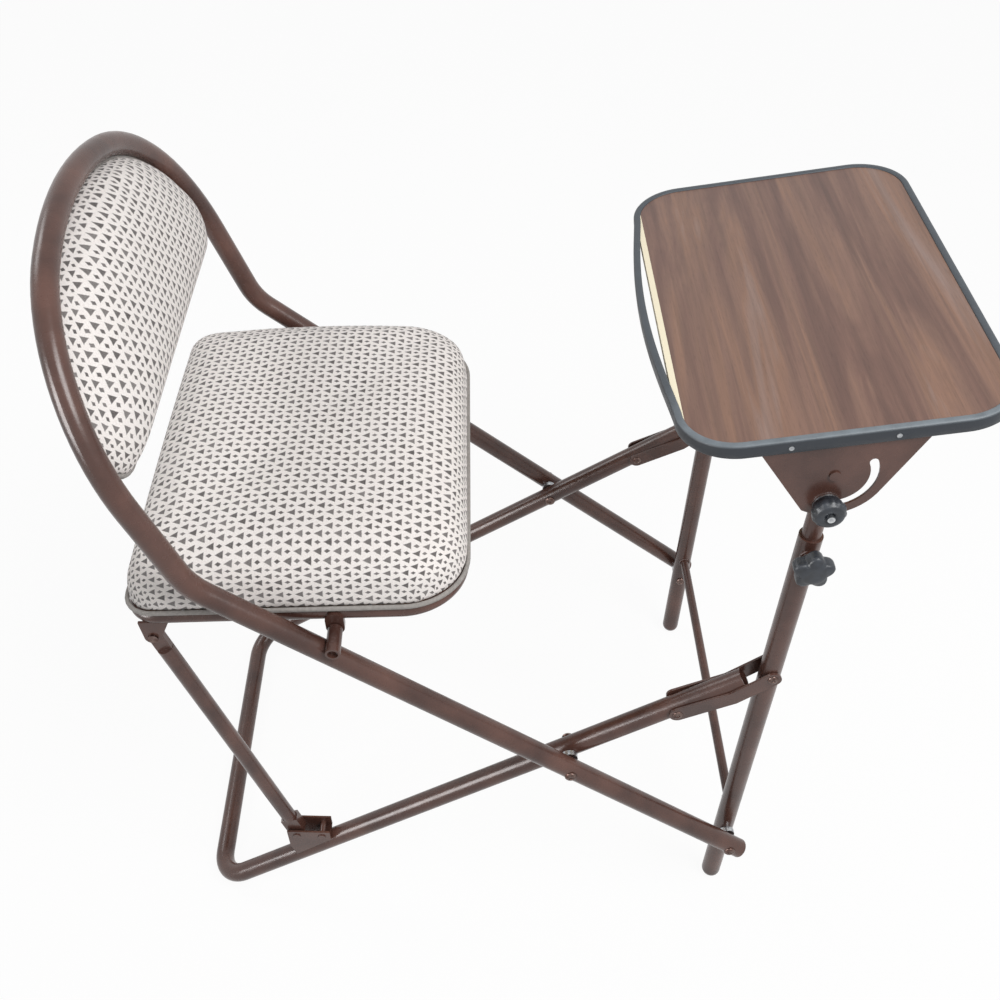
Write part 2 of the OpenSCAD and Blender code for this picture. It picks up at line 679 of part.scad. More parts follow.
// Where the plate bends, between its rivets and below the straight line
link_mid = along(along(base_link, link_angle, link_len * link_mid_share), link_angle - 90, link_len * link_dip_share);
link_low_angle = angle_to(base_link, link_mid);
link_high_angle = angle_to(link_mid, leg_link);
link_mean_angle = (link_low_angle + link_high_angle) / 2;
link_mitre = link_w / 2 / cos((link_high_angle - link_low_angle) / 2);

// Outline of a link plate: a strip with round ends and one bend
module link_outline() difference() {
    polygon(concat(
        arc_points(base_link, link_w / 2, link_low_angle + 90, link_low_angle + 270, 12),
        [along(link_mid, link_mean_angle - 90, link_mitre)],
        arc_points(leg_link, link_w / 2, link_high_angle - 90, link_high_angle + 90, 12),
        [along(link_mid, link_mean_angle + 90, link_mitre)]
    ));
    for (p = [base_link, leg_link]) translate(p) circle(d = rivet_d);
}

module outer_link_plates() color(brown) both_sides()
    plate(base_y + tube_r + side_gap, base_y + tube_r + side_gap + link_t) link_outline();

module inner_link_plates() color(brown) both_sides()
    plate(base_y - tube_r - side_gap - link_t, base_y - tube_r - side_gap) link_outline();

link_out = tube_r + side_gap + link_t;

// The rivet through the base tube holds both plates; the one at the leg is headed in the plates alone
module link_heads(p) {
    pin(p, link_head_d, base_y + link_out, base_y + link_out + low_head_h);
    pin(p, link_head_d, base_y - link_out - low_head_h, base_y - link_out);
}

module link_base_rivets() color(steel) both_sides() {
    link_heads(base_link);
    pin(base_link, rivet_d, base_y - link_out, base_y + link_out);
}

module link_leg_rivets() color(steel) both_sides() {
    link_heads(leg_link);
    pin(leg_link, rivet_d, base_y + link_out - link_t, base_y + link_out);
    pin(leg_link, rivet_d, base_y - link_out, base_y - link_out + link_t);
}

// Desk posts

post_in_len = 150;
post_top = 11;
tilt_pin_d = 6;
tilt_stud_d = 6;

module desk_post(y) leg_frame(y) difference() {
    translate([0, 0, leg_rim_up - post_in_len]) cylinder(d = post_d, h = post_in_len + desk_pivot_up + post_top);
    translate([0, 0, leg_rim_up - post_in_len - over])
        cylinder(d = post_d - 2 * tube_wall, h = post_in_len + desk_pivot_up + post_top + 2 * over);
    translate([0, -post_d, tilt_up]) rotate([-90, 0, 0]) cylinder(d = tilt_pin_d, h = 2 * post_d);
    translate([0, -post_d, tilt_up - slot_r]) rotate([-90, 0, 0]) cylinder(d = tilt_stud_d + 2 * fit, h = 2 * post_d);
}

module left_desk_post() color(brown) desk_post(base_y);
module right_desk_post() color(brown) desk_post(-base_y);

plate_t = 2;
plate_in = base_y + post_d / 2 + side_gap;
plate_out = plate_in + plate_t;
tilt_head_h = 1.2;
tilt_head_d = 9;

module tilt_pivot_rivets() color(brown) both_sides() leg_frame() translate([0, 0, tilt_up]) {
    pin([0, 0], tilt_pin_d, base_y - post_d / 2 - tilt_head_h, plate_out + side_gap + tilt_head_h);
    pin([0, 0], tilt_head_d, base_y - post_d / 2 - tilt_head_h, base_y - post_d / 2);
    pin([0, 0], tilt_head_d, plate_out + side_gap, plate_out + side_gap + tilt_head_h);
}

// Desk

laminate_t = 1;
edging_t = 2.2;
edging_lip = 4;
edging_lip_t = 1.2;

module desk_outline(grow)
    round_rect(-desk_behind - grow, desk_len - desk_behind + grow, desk_half_w + grow, desk_corner_r + grow);

module desk_board() color(core) desk_frame() difference() {
    translate([0, 0, board_low]) linear_extrude(board_t - laminate_t) desk_outline(0);
    for (p = plate_screw_places) translate([p[0], p[1], board_low - over])
        cylinder(d = screw_d, h = plate_screw_len + over);
    nail_frames() translate([0, 0, -nail_len]) cylinder(d = nail_d, h = nail_len + over);
}

// Rubber edging: an angle strip round the board, whose lip is let into the top beside
// the laminate. Along the sitter's side it has come away and bows out from the board.
edging_bow = 11;
// How far the bowed length lies inside the edging's outer face at its ends
bow_in = 0.4;
bow_sides = 360;
edging_span = 2 * (desk_half_w - desk_corner_r);
bow_r = (edging_span * edging_span / 4 + edging_bow * edging_bow) / (2 * edging_bow);

// Space along the sitter's side, between the round corners and a little past them
module sitter_side(x0, x1, past) translate([x0, -edging_span / 2 - past]) square([x1 - x0, edging_span + 2 * past]);

// The bowed length of the edging: a band of an arc, drawn in by an amount
module bow_band(in0, in1) intersection() {
    translate([bow_r - desk_behind - edging_t - edging_bow + bow_in, 0]) difference() {
        circle(r = bow_r - in0, $fn = bow_sides);
        circle(r = bow_r - in1, $fn = bow_sides);
    }
    sitter_side(-desk_behind - edging_t - edging_bow - over, over - desk_behind, over);
}

// Plan of the board's middle, inside the lip, with the whole of the sitter's side
module inside_lip() {
    desk_outline(-edging_lip);
    sitter_side(-desk_behind - edging_t - over, over - desk_behind + edging_lip, 0);
}

module desk_laminate() color(timber) desk_frame() translate([0, 0, board_top - laminate_t])
    linear_extrude(laminate_t) difference() {
        intersection() {
            desk_outline(0);
            inside_lip();
        }
        bow_band(0, edging_t + edging_lip);
    }

module desk_edging() color(slate) desk_frame() difference() {
    union() {
        difference() {
            translate([0, 0, board_low]) linear_extrude(board_t + edging_lip_t) desk_outline(edging_t);
            translate([0, 0, board_low - over]) linear_extrude(board_t + edging_lip_t + 2 * over) inside_lip();
        }
        translate([0, 0, board_low]) linear_extrude(board_t + edging_lip_t) bow_band(0, edging_t);
        translate([0, 0, board_top - laminate_t]) linear_extrude(laminate_t + edging_lip_t)
            bow_band(0, edging_t + edging_lip);
    }
    translate([0, 0, board_low - over]) linear_extrude(board_t - laminate_t + over) desk_outline(0);
    nail_frames() cylinder(d = nail_d, h = edging_t + over);
}

// Nails through the edging into the board: [x, y, direction that the head faces]
nail_d = 1.6;
nail_len = 9;
nail_head_d = 4;
nail_x_shares = [0.31, 0.62];
nail_places = concat(
    [for (s = [-1, 1], k = nail_x_shares) [desk_len * k - desk_behind, s * desk_half_w, s * 90]],
    [for (s = [-1, 1]) [desk_len - desk_behind, s * desk_half_w / 3, 0]]
);

// Axes of the nails, with the board's edge at zero and the head outwards
module nail_frames() for (p = nail_places)
    translate([p[0], p[1], board_low + board_t / 2]) rotate([0, 90, p[2]]) children();

module edging_nails() color(steel) desk_frame() nail_frames() {
    translate([0, 0, -nail_len]) cylinder(d = nail_d, h = nail_len + edging_t);
    translate([0, 0, edging_t]) cylinder(d = nail_head_d, h = nail_d / 2);
}

// Tilt plates: a fan with a curved slot about the pivot, and a flange under the board
plate_back = 56;
plate_front = 70;
plate_r = 41;
plate_left_angle = -126;
plate_right_angle = -36;
flange_w = 16;
plate_screw_len = 7;
plate_screw_share = 0.72;
plate_screw_places = [for (s = [-1, 1], x = [-plate_back, plate_front] * plate_screw_share)
    [x, s * (plate_in - flange_w / 2)]];
slot_at_rest = -90 - leg_lean - desk_slope;
slot_play = 2;
// Angle at which the slot ends, past what the swing needs
slot_end = 18;

// The slot: two arcs about the pivot with round ends
slot_start = slot_at_rest - swing_up - slot_play;
module slot_outline() polygon(concat(
    arc_points([0, 0], slot_r + slot_w / 2, slot_start, slot_end, 16),
    arc_points(along([0, 0], slot_end, slot_r), slot_w / 2, slot_end + 30, slot_end + 150, 4),
    arc_points([0, 0], slot_r - slot_w / 2, slot_end, slot_start, 16),
    arc_points(along([0, 0], slot_start, slot_r), slot_w / 2, slot_start + 210, slot_start + 330, 4)
));

module tilt_plate_outline() difference() {
    polygon(concat(
        [[-plate_back, board_low], [plate_front, board_low]],
        arc_points([0, 0], plate_r, plate_right_angle, plate_left_angle, 12)
    ));
    circle(d = tilt_pin_d + 2 * fit);
    slot_outline();
}

module tilt_plate() desk_frame() {
    plate(plate_in, plate_out) tilt_plate_outline();
    difference() {
        translate([-plate_back, plate_in - flange_w, board_low - plate_t])
            cube([plate_back + plate_front, flange_w + plate_t, plate_t]);
        for (p = plate_screw_places) translate([p[0], p[1], 0]) cylinder(d = screw_d + 2 * fit, h = board_top);
    }
}

module left_tilt_plate() color(brown) tilt_plate();
module right_tilt_plate() color(brown) mirror([0, 1, 0]) tilt_plate();

module tilt_plate_screws() color(steel) desk_frame() for (p = plate_screw_places)
    translate([p[0], p[1], board_low - plate_t - screw_head_h]) {
        cylinder(d = screw_head_d, h = screw_head_h);
        cylinder(d = screw_d, h = screw_head_h + plate_t + plate_screw_len);
    }

// Knobs

washer_d = 22;
washer_t = 1.5;
tilt_knob_h = 14;
// Shares of the tilt knob's width and height: its collar, and the grip's foot and height
collar_share = 0.42;
grip_low_share = 0.3;
grip_share = 0.45;
height_knob_h = 16;
height_lobes = 5;
// Shares of the height knob: its hub, the lobes' place, width, foot and height, and the stud's depth
hub_share = 0.62;
lobe_at_share = 0.34;
lobe_share = 0.32;
lobe_low_share = 0.12;
lobe_h_share = 0.76;
stud_in_share = 0.7;
// How far the tilt stud stands out of its knob and behind its post
stud_show = 2;
stud_tail = 1;
tilt_washer_y = plate_out + side_gap;
tilt_knob_y = tilt_washer_y + washer_t;
height_knob_y = base_y + tube_r + boss_h;

// Axis of a knob: its place up the leg and on the left or the right side, z outwards
module knob_frame(side, up) leg_frame() translate([0, 0, up]) rotate([side > 0 ? -90 : 90, 0, 0]) children();

module tilt_knob(side) knob_frame(side, tilt_up - slot_r) translate([0, 0, tilt_knob_y]) difference() {
    rotate_extrude() difference() {
        union() {
            square([tilt_knob_d * collar_share, tilt_knob_h]);
            translate([0, tilt_knob_h * grip_low_share]) square([tilt_knob_d / 2, tilt_knob_h * grip_share]);
        }
        translate([-tilt_knob_d, 0]) square([tilt_knob_d, tilt_knob_h]);
    }
    translate([0, 0, -over]) cylinder(d = tilt_stud_d, h = tilt_knob_h + 2 * over);
}

module left_tilt_knob() color(slate) tilt_knob(1);
module right_tilt_knob() color(slate) tilt_knob(-1);

// Tilt stud: clamps the plate to the post and shows a bright end in the knob
module tilt_stud(side) knob_frame(side, tilt_up - slot_r) {
    translate([0, 0, base_y - post_d / 2 - stud_tail])
        cylinder(d = tilt_stud_d, h = tilt_knob_y + tilt_knob_h + stud_show - base_y + post_d / 2 + stud_tail);
}

module left_tilt_stud() color(steel) tilt_stud(1);
module right_tilt_stud() color(steel) tilt_stud(-1);

module tilt_washer(side) knob_frame(side, tilt_up - slot_r) translate([0, 0, tilt_washer_y]) difference() {
    cylinder(d = washer_d, h = washer_t);
    translate([0, 0, -over]) cylinder(d = tilt_stud_d, h = washer_t + 2 * over);
}

module left_tilt_washer() color(steel) tilt_washer(1);
module right_tilt_washer() color(steel) tilt_washer(-1);

// Height knob: a hub with round lobes
module height_knob(side) knob_frame(side, height_up) translate([0, 0, height_knob_y]) difference() {
    union() {
        cylinder(d = height_knob_d * hub_share, h = height_knob_h);
        for (k = [0 : height_lobes - 1]) rotate([0, 0, 360 * k / height_lobes + 90])
            translate([height_knob_d * lobe_at_share, 0, height_knob_h * lobe_low_share])
                cylinder(d = height_knob_d * lobe_share, h = height_knob_h * lobe_h_share);
    }
    translate([0, 0, -over]) cylinder(d = height_stud_d, h = height_knob_h * stud_in_share + over);
}

module left_height_knob() color(slate) height_knob(1);
module right_height_knob() color(slate) height_knob(-1);

// Height stud: goes through the boss and presses on the post
module height_stud(side) knob_frame(side, height_up) translate([0, 0, base_y + post_d / 2 + side_gap])
    cylinder(d = height_stud_d, h = height_knob_y + height_knob_h * stud_in_share - base_y - post_d / 2 - side_gap);

module left_height_stud() color(steel) height_stud(1);
module right_height_stud() color(steel) height_stud(-1);

base_tube();
strut_brackets();
bracket_pins();
scissor_rivets();
scissor_spacers();
back_tube();
back_end_caps();
seat_pivot_bushes();
backrest_board();
backrest_cushion();
backrest_tabs();
backrest_screws();
seat_ring();
seat_board();
seat_cushion();
seat_board_screws();
seat_pivot_pins();
strut_lugs();
strut_hinge_rivets();
left_strut();
right_strut();
left_leg_tube();
right_leg_tube();
leg_feet();
leg_cross_rod();
leg_pivot_rivets();
leg_pivot_spacers();
height_bosses();
outer_link_plates();
inner_link_plates();
link_base_rivets();
link_leg_rivets();
left_desk_post();
right_desk_post();
tilt_pivot_rivets();
desk_board();
desk_laminate();
desk_edging();
edging_nails();
left_tilt_plate();
right_tilt_plate();
tilt_plate_screws();
left_tilt_knob();
right_tilt_knob();
left_tilt_stud();
right_tilt_stud();
left_tilt_washer();
right_tilt_washer();
left_height_knob();
right_height_knob();
left_height_stud();
right_height_stud();
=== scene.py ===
import math

import bmesh
import bpy
import numpy as np
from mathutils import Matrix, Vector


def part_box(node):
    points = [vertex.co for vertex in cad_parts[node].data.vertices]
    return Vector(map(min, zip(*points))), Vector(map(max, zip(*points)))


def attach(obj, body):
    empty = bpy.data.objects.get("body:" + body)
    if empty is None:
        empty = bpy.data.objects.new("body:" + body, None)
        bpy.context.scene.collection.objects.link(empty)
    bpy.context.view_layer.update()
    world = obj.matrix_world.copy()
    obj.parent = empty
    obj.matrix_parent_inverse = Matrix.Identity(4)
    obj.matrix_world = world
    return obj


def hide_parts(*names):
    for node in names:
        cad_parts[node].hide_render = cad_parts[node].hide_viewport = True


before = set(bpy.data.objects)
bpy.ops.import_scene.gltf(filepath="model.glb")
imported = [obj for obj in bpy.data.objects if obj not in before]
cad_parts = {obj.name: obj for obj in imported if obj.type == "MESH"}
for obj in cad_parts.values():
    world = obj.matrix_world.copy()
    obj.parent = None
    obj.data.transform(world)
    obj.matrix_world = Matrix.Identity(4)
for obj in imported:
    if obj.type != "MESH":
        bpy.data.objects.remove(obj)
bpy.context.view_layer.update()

# Camera
# The camera stands at the chair's right side, 1.2 m above the floor, and looks down on
# the chair, so the desk's front corner runs out of the picture.

eye_place = (-0.02839, -0.8189, 1.20521)
eye_turn = (46.1034, 0.8125, -1.312)
eye = bpy.data.cameras.new("eye")
eye.lens = 41.27
eye.sensor_width = 36.0
eye.shift_x = -0.00285
eye.shift_y = 0.00168
eye_object = bpy.data.objects.new("eye", eye)
eye_object.location = eye_place
eye_object.rotation_euler = [math.radians(a) for a in eye_turn]
bpy.context.scene.collection.objects.link(eye_object)
bpy.context.scene.camera = eye_object
bpy.context.scene.view_settings.view_transform = "Standard"

# Studio floor and lamps
# A white paper sweep lies under the chair and keeps a pale shadow. One large soft lamp
# stands over the desk and a weaker one behind the back; a window at the left shows in
# gloss alone.


def linear(code):
    """Scene colour of a hex colour: the sRGB curve undone for each channel."""
    s = np.array([int(code[i:i + 2], 16) for i in (1, 3, 5)]) / 255.0
    return (*np.where(s <= 0.04045, s / 12.92, ((s + 0.055) / 1.055) ** 2.4).tolist(), 1.0)


def new_material(name):
    """An empty node material; returns it with its node tree."""
    material = bpy.data.materials.new(name)
    material.use_nodes = True
    tree = material.node_tree
    tree.nodes.clear()
    return material, tree


def joined(tree, kind, **inputs):
    """A node of a kind. A key at_name sets the node's own value, in_number a socket by its number, and any
    other key a socket by its name; a socket that is given a socket is linked to it."""
    node = tree.nodes.new(kind)
    for key, value in inputs.items():
        if key.startswith("at_"):
            setattr(node, key[3:], value)
    for key, value in inputs.items():
        if key.startswith("at_"):
            continue
        if key.startswith("in_"):
            socket = node.inputs[int(key[3:])]
        else:
            socket = node.inputs[key.replace("_", " ")]
        if isinstance(value, bpy.types.NodeSocket):
            tree.links.new(value, socket)
        else:
            socket.default_value = value
    return node


def math_of(tree, operation, first, second):
    """The socket of one sum, such as MULTIPLY, of two numbers or sockets."""
    return joined(tree, "ShaderNodeMath", at_operation=operation, in_0=first, in_1=second).outputs[0]


def spread(tree, value, low, high, to_low=0.0, to_high=1.0):
    """The value carried in a straight line from low..high to to_low..to_high, and held at both ends."""
    reach = dict(in_1=low, in_2=high, in_3=to_low, in_4=to_high)
    return joined(tree, "ShaderNodeMapRange", in_0=value, **reach).outputs[0]


def seen_rays(tree):
    """1 for a ray that comes from the camera, a gloss or a clear body, and 0 for the light of other rays."""
    rays = joined(tree, "ShaderNodeLightPath").outputs
    gloss = math_of(tree, "MAXIMUM", rays["Is Glossy Ray"], rays["Is Transmission Ray"])
    return math_of(tree, "MAXIMUM", rays["Is Camera Ray"], gloss)


white = (1.0, 1.0, 1.0, 1.0)
paper_grey = (0.86, 0.86, 0.86, 1.0)
paper_glow = 0.94
paper_half, paper_low = 6.0, -0.001
paper, tree = new_material("white_paper")
matt = joined(tree, "ShaderNodeBsdfDiffuse", Color=paper_grey)
glow = joined(tree, "ShaderNodeEmission", Color=white, Strength=1.0)
shown = math_of(tree, "MULTIPLY", seen_rays(tree), paper_glow)
both = joined(tree, "ShaderNodeMixShader", in_0=shown, in_1=matt.outputs[0], in_2=glow.outputs[0])
joined(tree, "ShaderNodeOutputMaterial", Surface=both.outputs[0])
sheet_corners = [(x * paper_half, y * paper_half, paper_low) for x, y in ((-1, -1), (1, -1), (1, 1), (-1, 1))]
sheet = bpy.data.meshes.new("paper_sweep")
sheet.from_pydata(sheet_corners, [], [(0, 1, 2, 3)])
sheet.materials.append(paper)
sweep = bpy.data.objects.new("paper_sweep", sheet)
bpy.context.scene.collection.objects.link(sweep)

room_light = 0.36
room = bpy.data.worlds.new("room")
room.use_nodes = True
tree = room.node_tree
tree.nodes.clear()
level = spread(tree, seen_rays(tree), 0.0, 1.0, room_light, 1.0)
back = joined(tree, "ShaderNodeBackground", Color=white, Strength=level)
joined(tree, "ShaderNodeOutputWorld", Surface=back.outputs[0])
bpy.context.scene.world = room

lamp_target = np.array([0.0, 0.0, 0.4])
lamps = (
    ("lamp_over_desk", (0.9, -1.0, 2.1), 1.1, 38.0, True),
    ("lamp_over_back", (-1.6, 0.8, 1.9), 0.8, 9.0, True),
    ("window_at_left", (-1.6, -1.1, 0.85), 0.9, 30.0, False),
)
for name, place, size, power, lights_surfaces in lamps:
    light = bpy.data.lights.new(name, "AREA")
    light.size = size
    light.energy = power
    lamp = bpy.data.objects.new(name, light)
    lamp.location = place
    aim = lamp_target - np.array(place)
    off_down = math.atan2(math.hypot(aim[0], aim[1]), -aim[2])
    lamp.rotation_euler = (off_down, 0.0, math.atan2(aim[1], aim[0]) - math.pi / 2)
    bpy.context.scene.collection.objects.link(lamp)
    lamp.visible_diffuse = lights_surfaces

# Painted steel tube
# Every tube, plate and lug of the chair is welded steel with a brown stoved paint:
# satin, with a faint orange peel, and a little uneven in tone and gloss.


def object_place(tree):
    """The socket of each point's place on the object."""
    return joined(tree, "ShaderNodeTexCoord").outputs["Object"]


def noise(tree, place, scale, detail, **more):
    """Cloudy noise from 0 to 1 at a place."""
    return joined(tree, "ShaderNodeTexNoise", Vector=place, Scale=scale, Detail=detail, **more).outputs[0]


def raised(tree, height, strength, distance):
    """The normal of a surface that is raised a little where height is high."""
    return joined(tree, "ShaderNodeBump", Strength=strength, Distance=distance, Height=height).outputs[0]


def mixed(tree, share, first, second, **more):
    """The colour between first and second by share; at_blend_type sets another way to blend them."""
    ends = dict(in_6=first, in_7=second)
    return joined(tree, "ShaderNodeMix", at_data_type="RGBA", in_0=share, **ends, **more).outputs[2]


def surface(tree, **sockets):
    """The material's shader, with its sockets by name, wired to the output."""
    shell = joined(tree, "ShaderNodeBsdfPrincipled", **sockets)
    joined(tree, "ShaderNodeOutputMaterial", Surface=shell.outputs[0])


def mottle_group():
    """Mottle, for every finish that is cloudy in tone: Cloud is a noise at Place, and Tone goes from Dark to
    Light in a straight line as the noise goes from Low to High."""
    group = bpy.data.node_groups.new("mottle", "ShaderNodeTree")
    number, colour = "NodeSocketFloat", "NodeSocketColor"
    takes = (("Place", "NodeSocketVector"), ("Scale", number), ("Detail", number), ("Fineness", number),
             ("Low", number), ("High", number), ("Dark", colour), ("Light", colour))
    for name, kind in takes:
        group.interface.new_socket(name, in_out="INPUT", socket_type=kind)
    for name, kind in (("Tone", colour), ("Cloud", number)):
        group.interface.new_socket(name, in_out="OUTPUT", socket_type=kind)
    given = group.nodes.new("NodeGroupInput").outputs
    cloud = noise(group, given["Place"], given["Scale"], given["Detail"], Roughness=given["Fineness"])
    share = spread(group, cloud, given["Low"], given["High"])
    joined(group, "NodeGroupOutput", Tone=mixed(group, share, given["Dark"], given["Light"]), Cloud=cloud)
    return group


mottle = mottle_group()


def mottled(tree, scale, low, high, dark, light, fineness=0.5):
    """The sockets Tone and Cloud of the mottle at each point's place on the object."""
    takes = dict(Scale=scale, Detail=4.0, Fineness=fineness, Low=low, High=high, Dark=dark, Light=light)
    made = joined(tree, "ShaderNodeGroup", at_node_tree=mottle, Place=object_place(tree), **takes)
    return made.outputs["Tone"], made.outputs["Cloud"]


def stoved_paint(name, dark, light):
    """Brown stoved paint: tone from a coarse mottle, gloss from a middle noise, peel from a fine one."""
    material, tree = new_material(name)
    tone, _ = mottled(tree, 22.0, 0.32, 0.68, dark, light, fineness=0.55)
    rub = noise(tree, object_place(tree), 95.0, 5.0, Roughness=0.6)
    peel = noise(tree, object_place(tree), 700.0, 2.0)
    surface(tree, Base_Color=tone, Roughness=spread(tree, rub, 0.3, 0.7, 0.2, 0.32),
            Normal=raised(tree, peel, 0.08, 0.0004), IOR=1.5)
    return material


tube_paint = stoved_paint("brown_stoved_paint", linear("#432c26"), linear("#5f4138"))


def finish_nodes(material, *names):
    """Gives carried over nodes of the frame a material in every slot."""
    for name in names:
        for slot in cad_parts[name].material_slots:
            slot.material = material


finish_nodes(
    tube_paint, "base_tube", "strut_brackets", "bracket_pins", "back_tube", "back_end_caps",
    "seat_pivot_bushes", "backrest_tabs", "seat_ring", "seat_pivot_pins", "strut_lugs", "left_strut",
    "right_strut", "left_leg_tube", "right_leg_tube", "leg_feet", "leg_cross_rod", "height_bosses",
    "outer_link_plates", "inner_link_plates", "left_desk_post", "right_desk_post", "tilt_pivot_rivets",
    "left_tilt_plate", "right_tilt_plate",
)

# Zinc plated fasteners
# Rivets, screws, washers and studs are mild steel with a thin bright zinc plating that has
# gone slightly cloudy. The pivots' rivet heads were painted over and are rubbed bare in part.


def zinc_plate(name, dull, bright):
    """Cloudy zinc: tone and gloss both follow one mottle, metallic all over."""
    material, tree = new_material(name)
    tone, cloud = mottled(tree, 260.0, 0.3, 0.7, dull, bright)
    surface(tree, Base_Color=tone, Roughness=spread(tree, cloud, 0.3, 0.7, 0.42, 0.24), Metallic=1.0)
    return material


worn_heads = zinc_plate("painted_rivets", linear("#4a342f"), linear("#7a6a64"))
zinc = zinc_plate("cloudy_zinc", linear("#8f9296"), linear("#d5d7d8"))
finish_nodes(
    zinc, "scissor_rivets", "scissor_spacers", "backrest_screws", "seat_board_screws", "leg_pivot_rivets",
    "leg_pivot_spacers", "link_base_rivets", "link_leg_rivets", "edging_nails", "tilt_plate_screws",
    "left_tilt_stud", "right_tilt_stud", "left_tilt_washer", "right_tilt_washer", "left_height_stud",
    "right_height_stud",
)
finish_nodes(worn_heads, "strut_hinge_rivets")

# Seat cushion
# A foam slab on a plywood board, covered in woven cloth that is pulled down over the
# edge and tacked under it, lowest at the corners. A cloth simulation swells it.

ahead, aside, upwards = np.eye(3)


def around(arcs, count):
    """Closed outline through arcs (centre, centre, radius, from, to in degrees) joined by straight lines,
    given as count points at even steps of its length."""
    steps = [np.stack([cx + r * np.cos(a), cy + r * np.sin(a)], 1)
             for cx, cy, r, a0, a1 in arcs for a in [np.radians(np.linspace(a0, a1, 40))]]
    line = np.concatenate(steps + [steps[0][:1]])
    run = np.concatenate([[0.0], np.cumsum(np.linalg.norm(np.diff(line, axis=0), axis=1))])
    at = np.linspace(0.0, run[-1], count, endpoint=False)
    return np.stack([np.interp(at, run, line[:, 0]), np.interp(at, run, line[:, 1])], 1)


def corner_arcs(rear, front, half, rear_r, front_r):
    """The four corners of a rounded rectangle in x and y as arcs, from the front left one round to the
    front right one."""
    return (
        (front - front_r, half - front_r, front_r, 0, 90),
        (rear + rear_r, half - rear_r, rear_r, 90, 180),
        (rear + rear_r, rear_r - half, rear_r, 180, 270),
        (front - front_r, front_r - half, front_r, 270, 360),
    )


def solid(name, points, faces, material):
    """Object of points and faces with smooth shading, doubles merged and faces turned outwards."""
    mesh = bpy.data.meshes.new(name)
    mesh.from_pydata(np.asarray(points, float).tolist(), [], faces)
    work = bmesh.new()
    work.from_mesh(mesh)
    bmesh.ops.remove_doubles(work, verts=work.verts, dist=1e-6)
    bmesh.ops.recalc_face_normals(work, faces=work.faces)
    work.to_mesh(mesh)
    work.free()
    mesh.polygons.foreach_set("use_smooth", np.ones(len(mesh.polygons), bool))
    mesh.materials.append(material)
    made = bpy.data.objects.new(name, mesh)
    bpy.context.scene.collection.objects.link(made)
    return made


def skin(name, grid, material, around_u=False, around_v=False, closed_ends=False):
    """Mesh of a grid of points (u, v, xyz): each cell is one face; a direction that runs around joins its
    last row to its first. closed_ends fills the first and last row of u with one face each."""
    nu, nv = grid.shape[:2]
    u = np.arange(nu if around_u else nu - 1)
    v = np.arange(nv if around_v else nv - 1)
    a, b = np.meshgrid(u, v, indexing="ij")
    c, d = (a + 1) % nu, (b + 1) % nv
    faces = np.stack([a * nv + b, a * nv + d, c * nv + d, c * nv + b], -1).reshape(-1, 4).tolist()
    if closed_ends:
        faces += [list(range(nv))[::-1], list(range((nu - 1) * nv, nu * nv))]
    return solid(name, grid.reshape(-1, 3), faces, material)


def corners(made):
    """The object's points as an array."""
    flat = np.empty(len(made.data.vertices) * 3)
    made.data.vertices.foreach_get("co", flat)
    return flat.reshape(-1, 3)


def place_corners(made, points):
    """Writes the object's points back."""
    made.data.vertices.foreach_set("co", np.asarray(points, float).ravel())
    made.data.update()


def apply_all(made):
    """Takes the mesh as its modifiers leave it, and drops them."""
    bpy.context.view_layer.update()
    seen_mesh = bpy.data.meshes.new_from_object(made.evaluated_get(bpy.context.evaluated_depsgraph_get()))
    made.modifiers.clear()
    made.data = seen_mesh


def stuff(made, held, cap):
    """Swells a closed form as foam swells its cover: remesh in even cells, cloth with inner pressure and no
    gravity, points where held(points) is true stay, and no point moves further than cap."""
    cell, pressure, frames = 0.005, 4.0, 20
    cells = made.modifiers.new("cells", "REMESH")
    cells.mode = "VOXEL"
    cells.voxel_size = cell
    apply_all(made)
    start = corners(made)
    group = made.vertex_groups.new(name="held")
    group.add(np.flatnonzero(held(start)).tolist(), 1.0, "REPLACE")
    cloth = made.modifiers.new("cloth", "CLOTH")
    cloth.settings.use_pressure = True
    cloth.settings.uniform_pressure_force = pressure
    cloth.settings.vertex_group_mass = "held"
    cloth.settings.effector_weights.gravity = 0.0
    cloth.point_cache.frame_start = 1
    cloth.point_cache.frame_end = frames
    for frame_number in range(1, frames + 1):
        bpy.context.scene.frame_set(frame_number)
    apply_all(made)
    bpy.context.scene.frame_set(1)
    moved = corners(made) - start
    far = np.linalg.norm(moved, axis=1, keepdims=True)
    place_corners(made, start + moved * np.minimum(1.0, cap / np.maximum(far, 1e-9)))
    made.vertex_groups.clear()
    smooth = made.modifiers.new("smooth", "SMOOTH")
    smooth.factor = 0.5
    smooth.iterations = 4
    finer = made.modifiers.new("finer", "SUBSURF")
    finer.levels = finer.render_levels = 1
    apply_all(made)
    made.data.polygons.foreach_set("use_smooth", np.ones(len(made.data.polygons), bool))


def lay_cloth(made, across, along, up, shoulder):
    """Writes each point's place on the flat cloth as the attribute cloth_place: across and along in the
    cloth's plane, and past the shoulder's height, down the side, the drop is added outwards."""
    points = corners(made)
    normals = np.empty(points.size)
    made.data.vertices.foreach_get("normal", normals)
    normals = normals.reshape(-1, 3)
    drop = np.maximum(shoulder - points @ up, 0.0)
    out_a, out_b = normals @ along, normals @ across
    least_out = 0.35
    size = np.maximum(np.hypot(out_a, out_b), least_out)
    laid_a, laid_b = points @ along + drop * out_a / size, points @ across + drop * out_b / size
    laid = np.stack([laid_a, laid_b, 0 * drop], 1)
    made.data.attributes.new("cloth_place", "FLOAT_VECTOR", "POINT").data.foreach_set("vector", laid.ravel())


mark_run, mark_rows = 16.4, 7.4
triangle_len, triangle_slope = 7.0, 0.5
dash_place, dash_half, dash_slope = 11.6, 1.9, 0.7
weft_pitch, warp_pitch = 0.85, 0.7


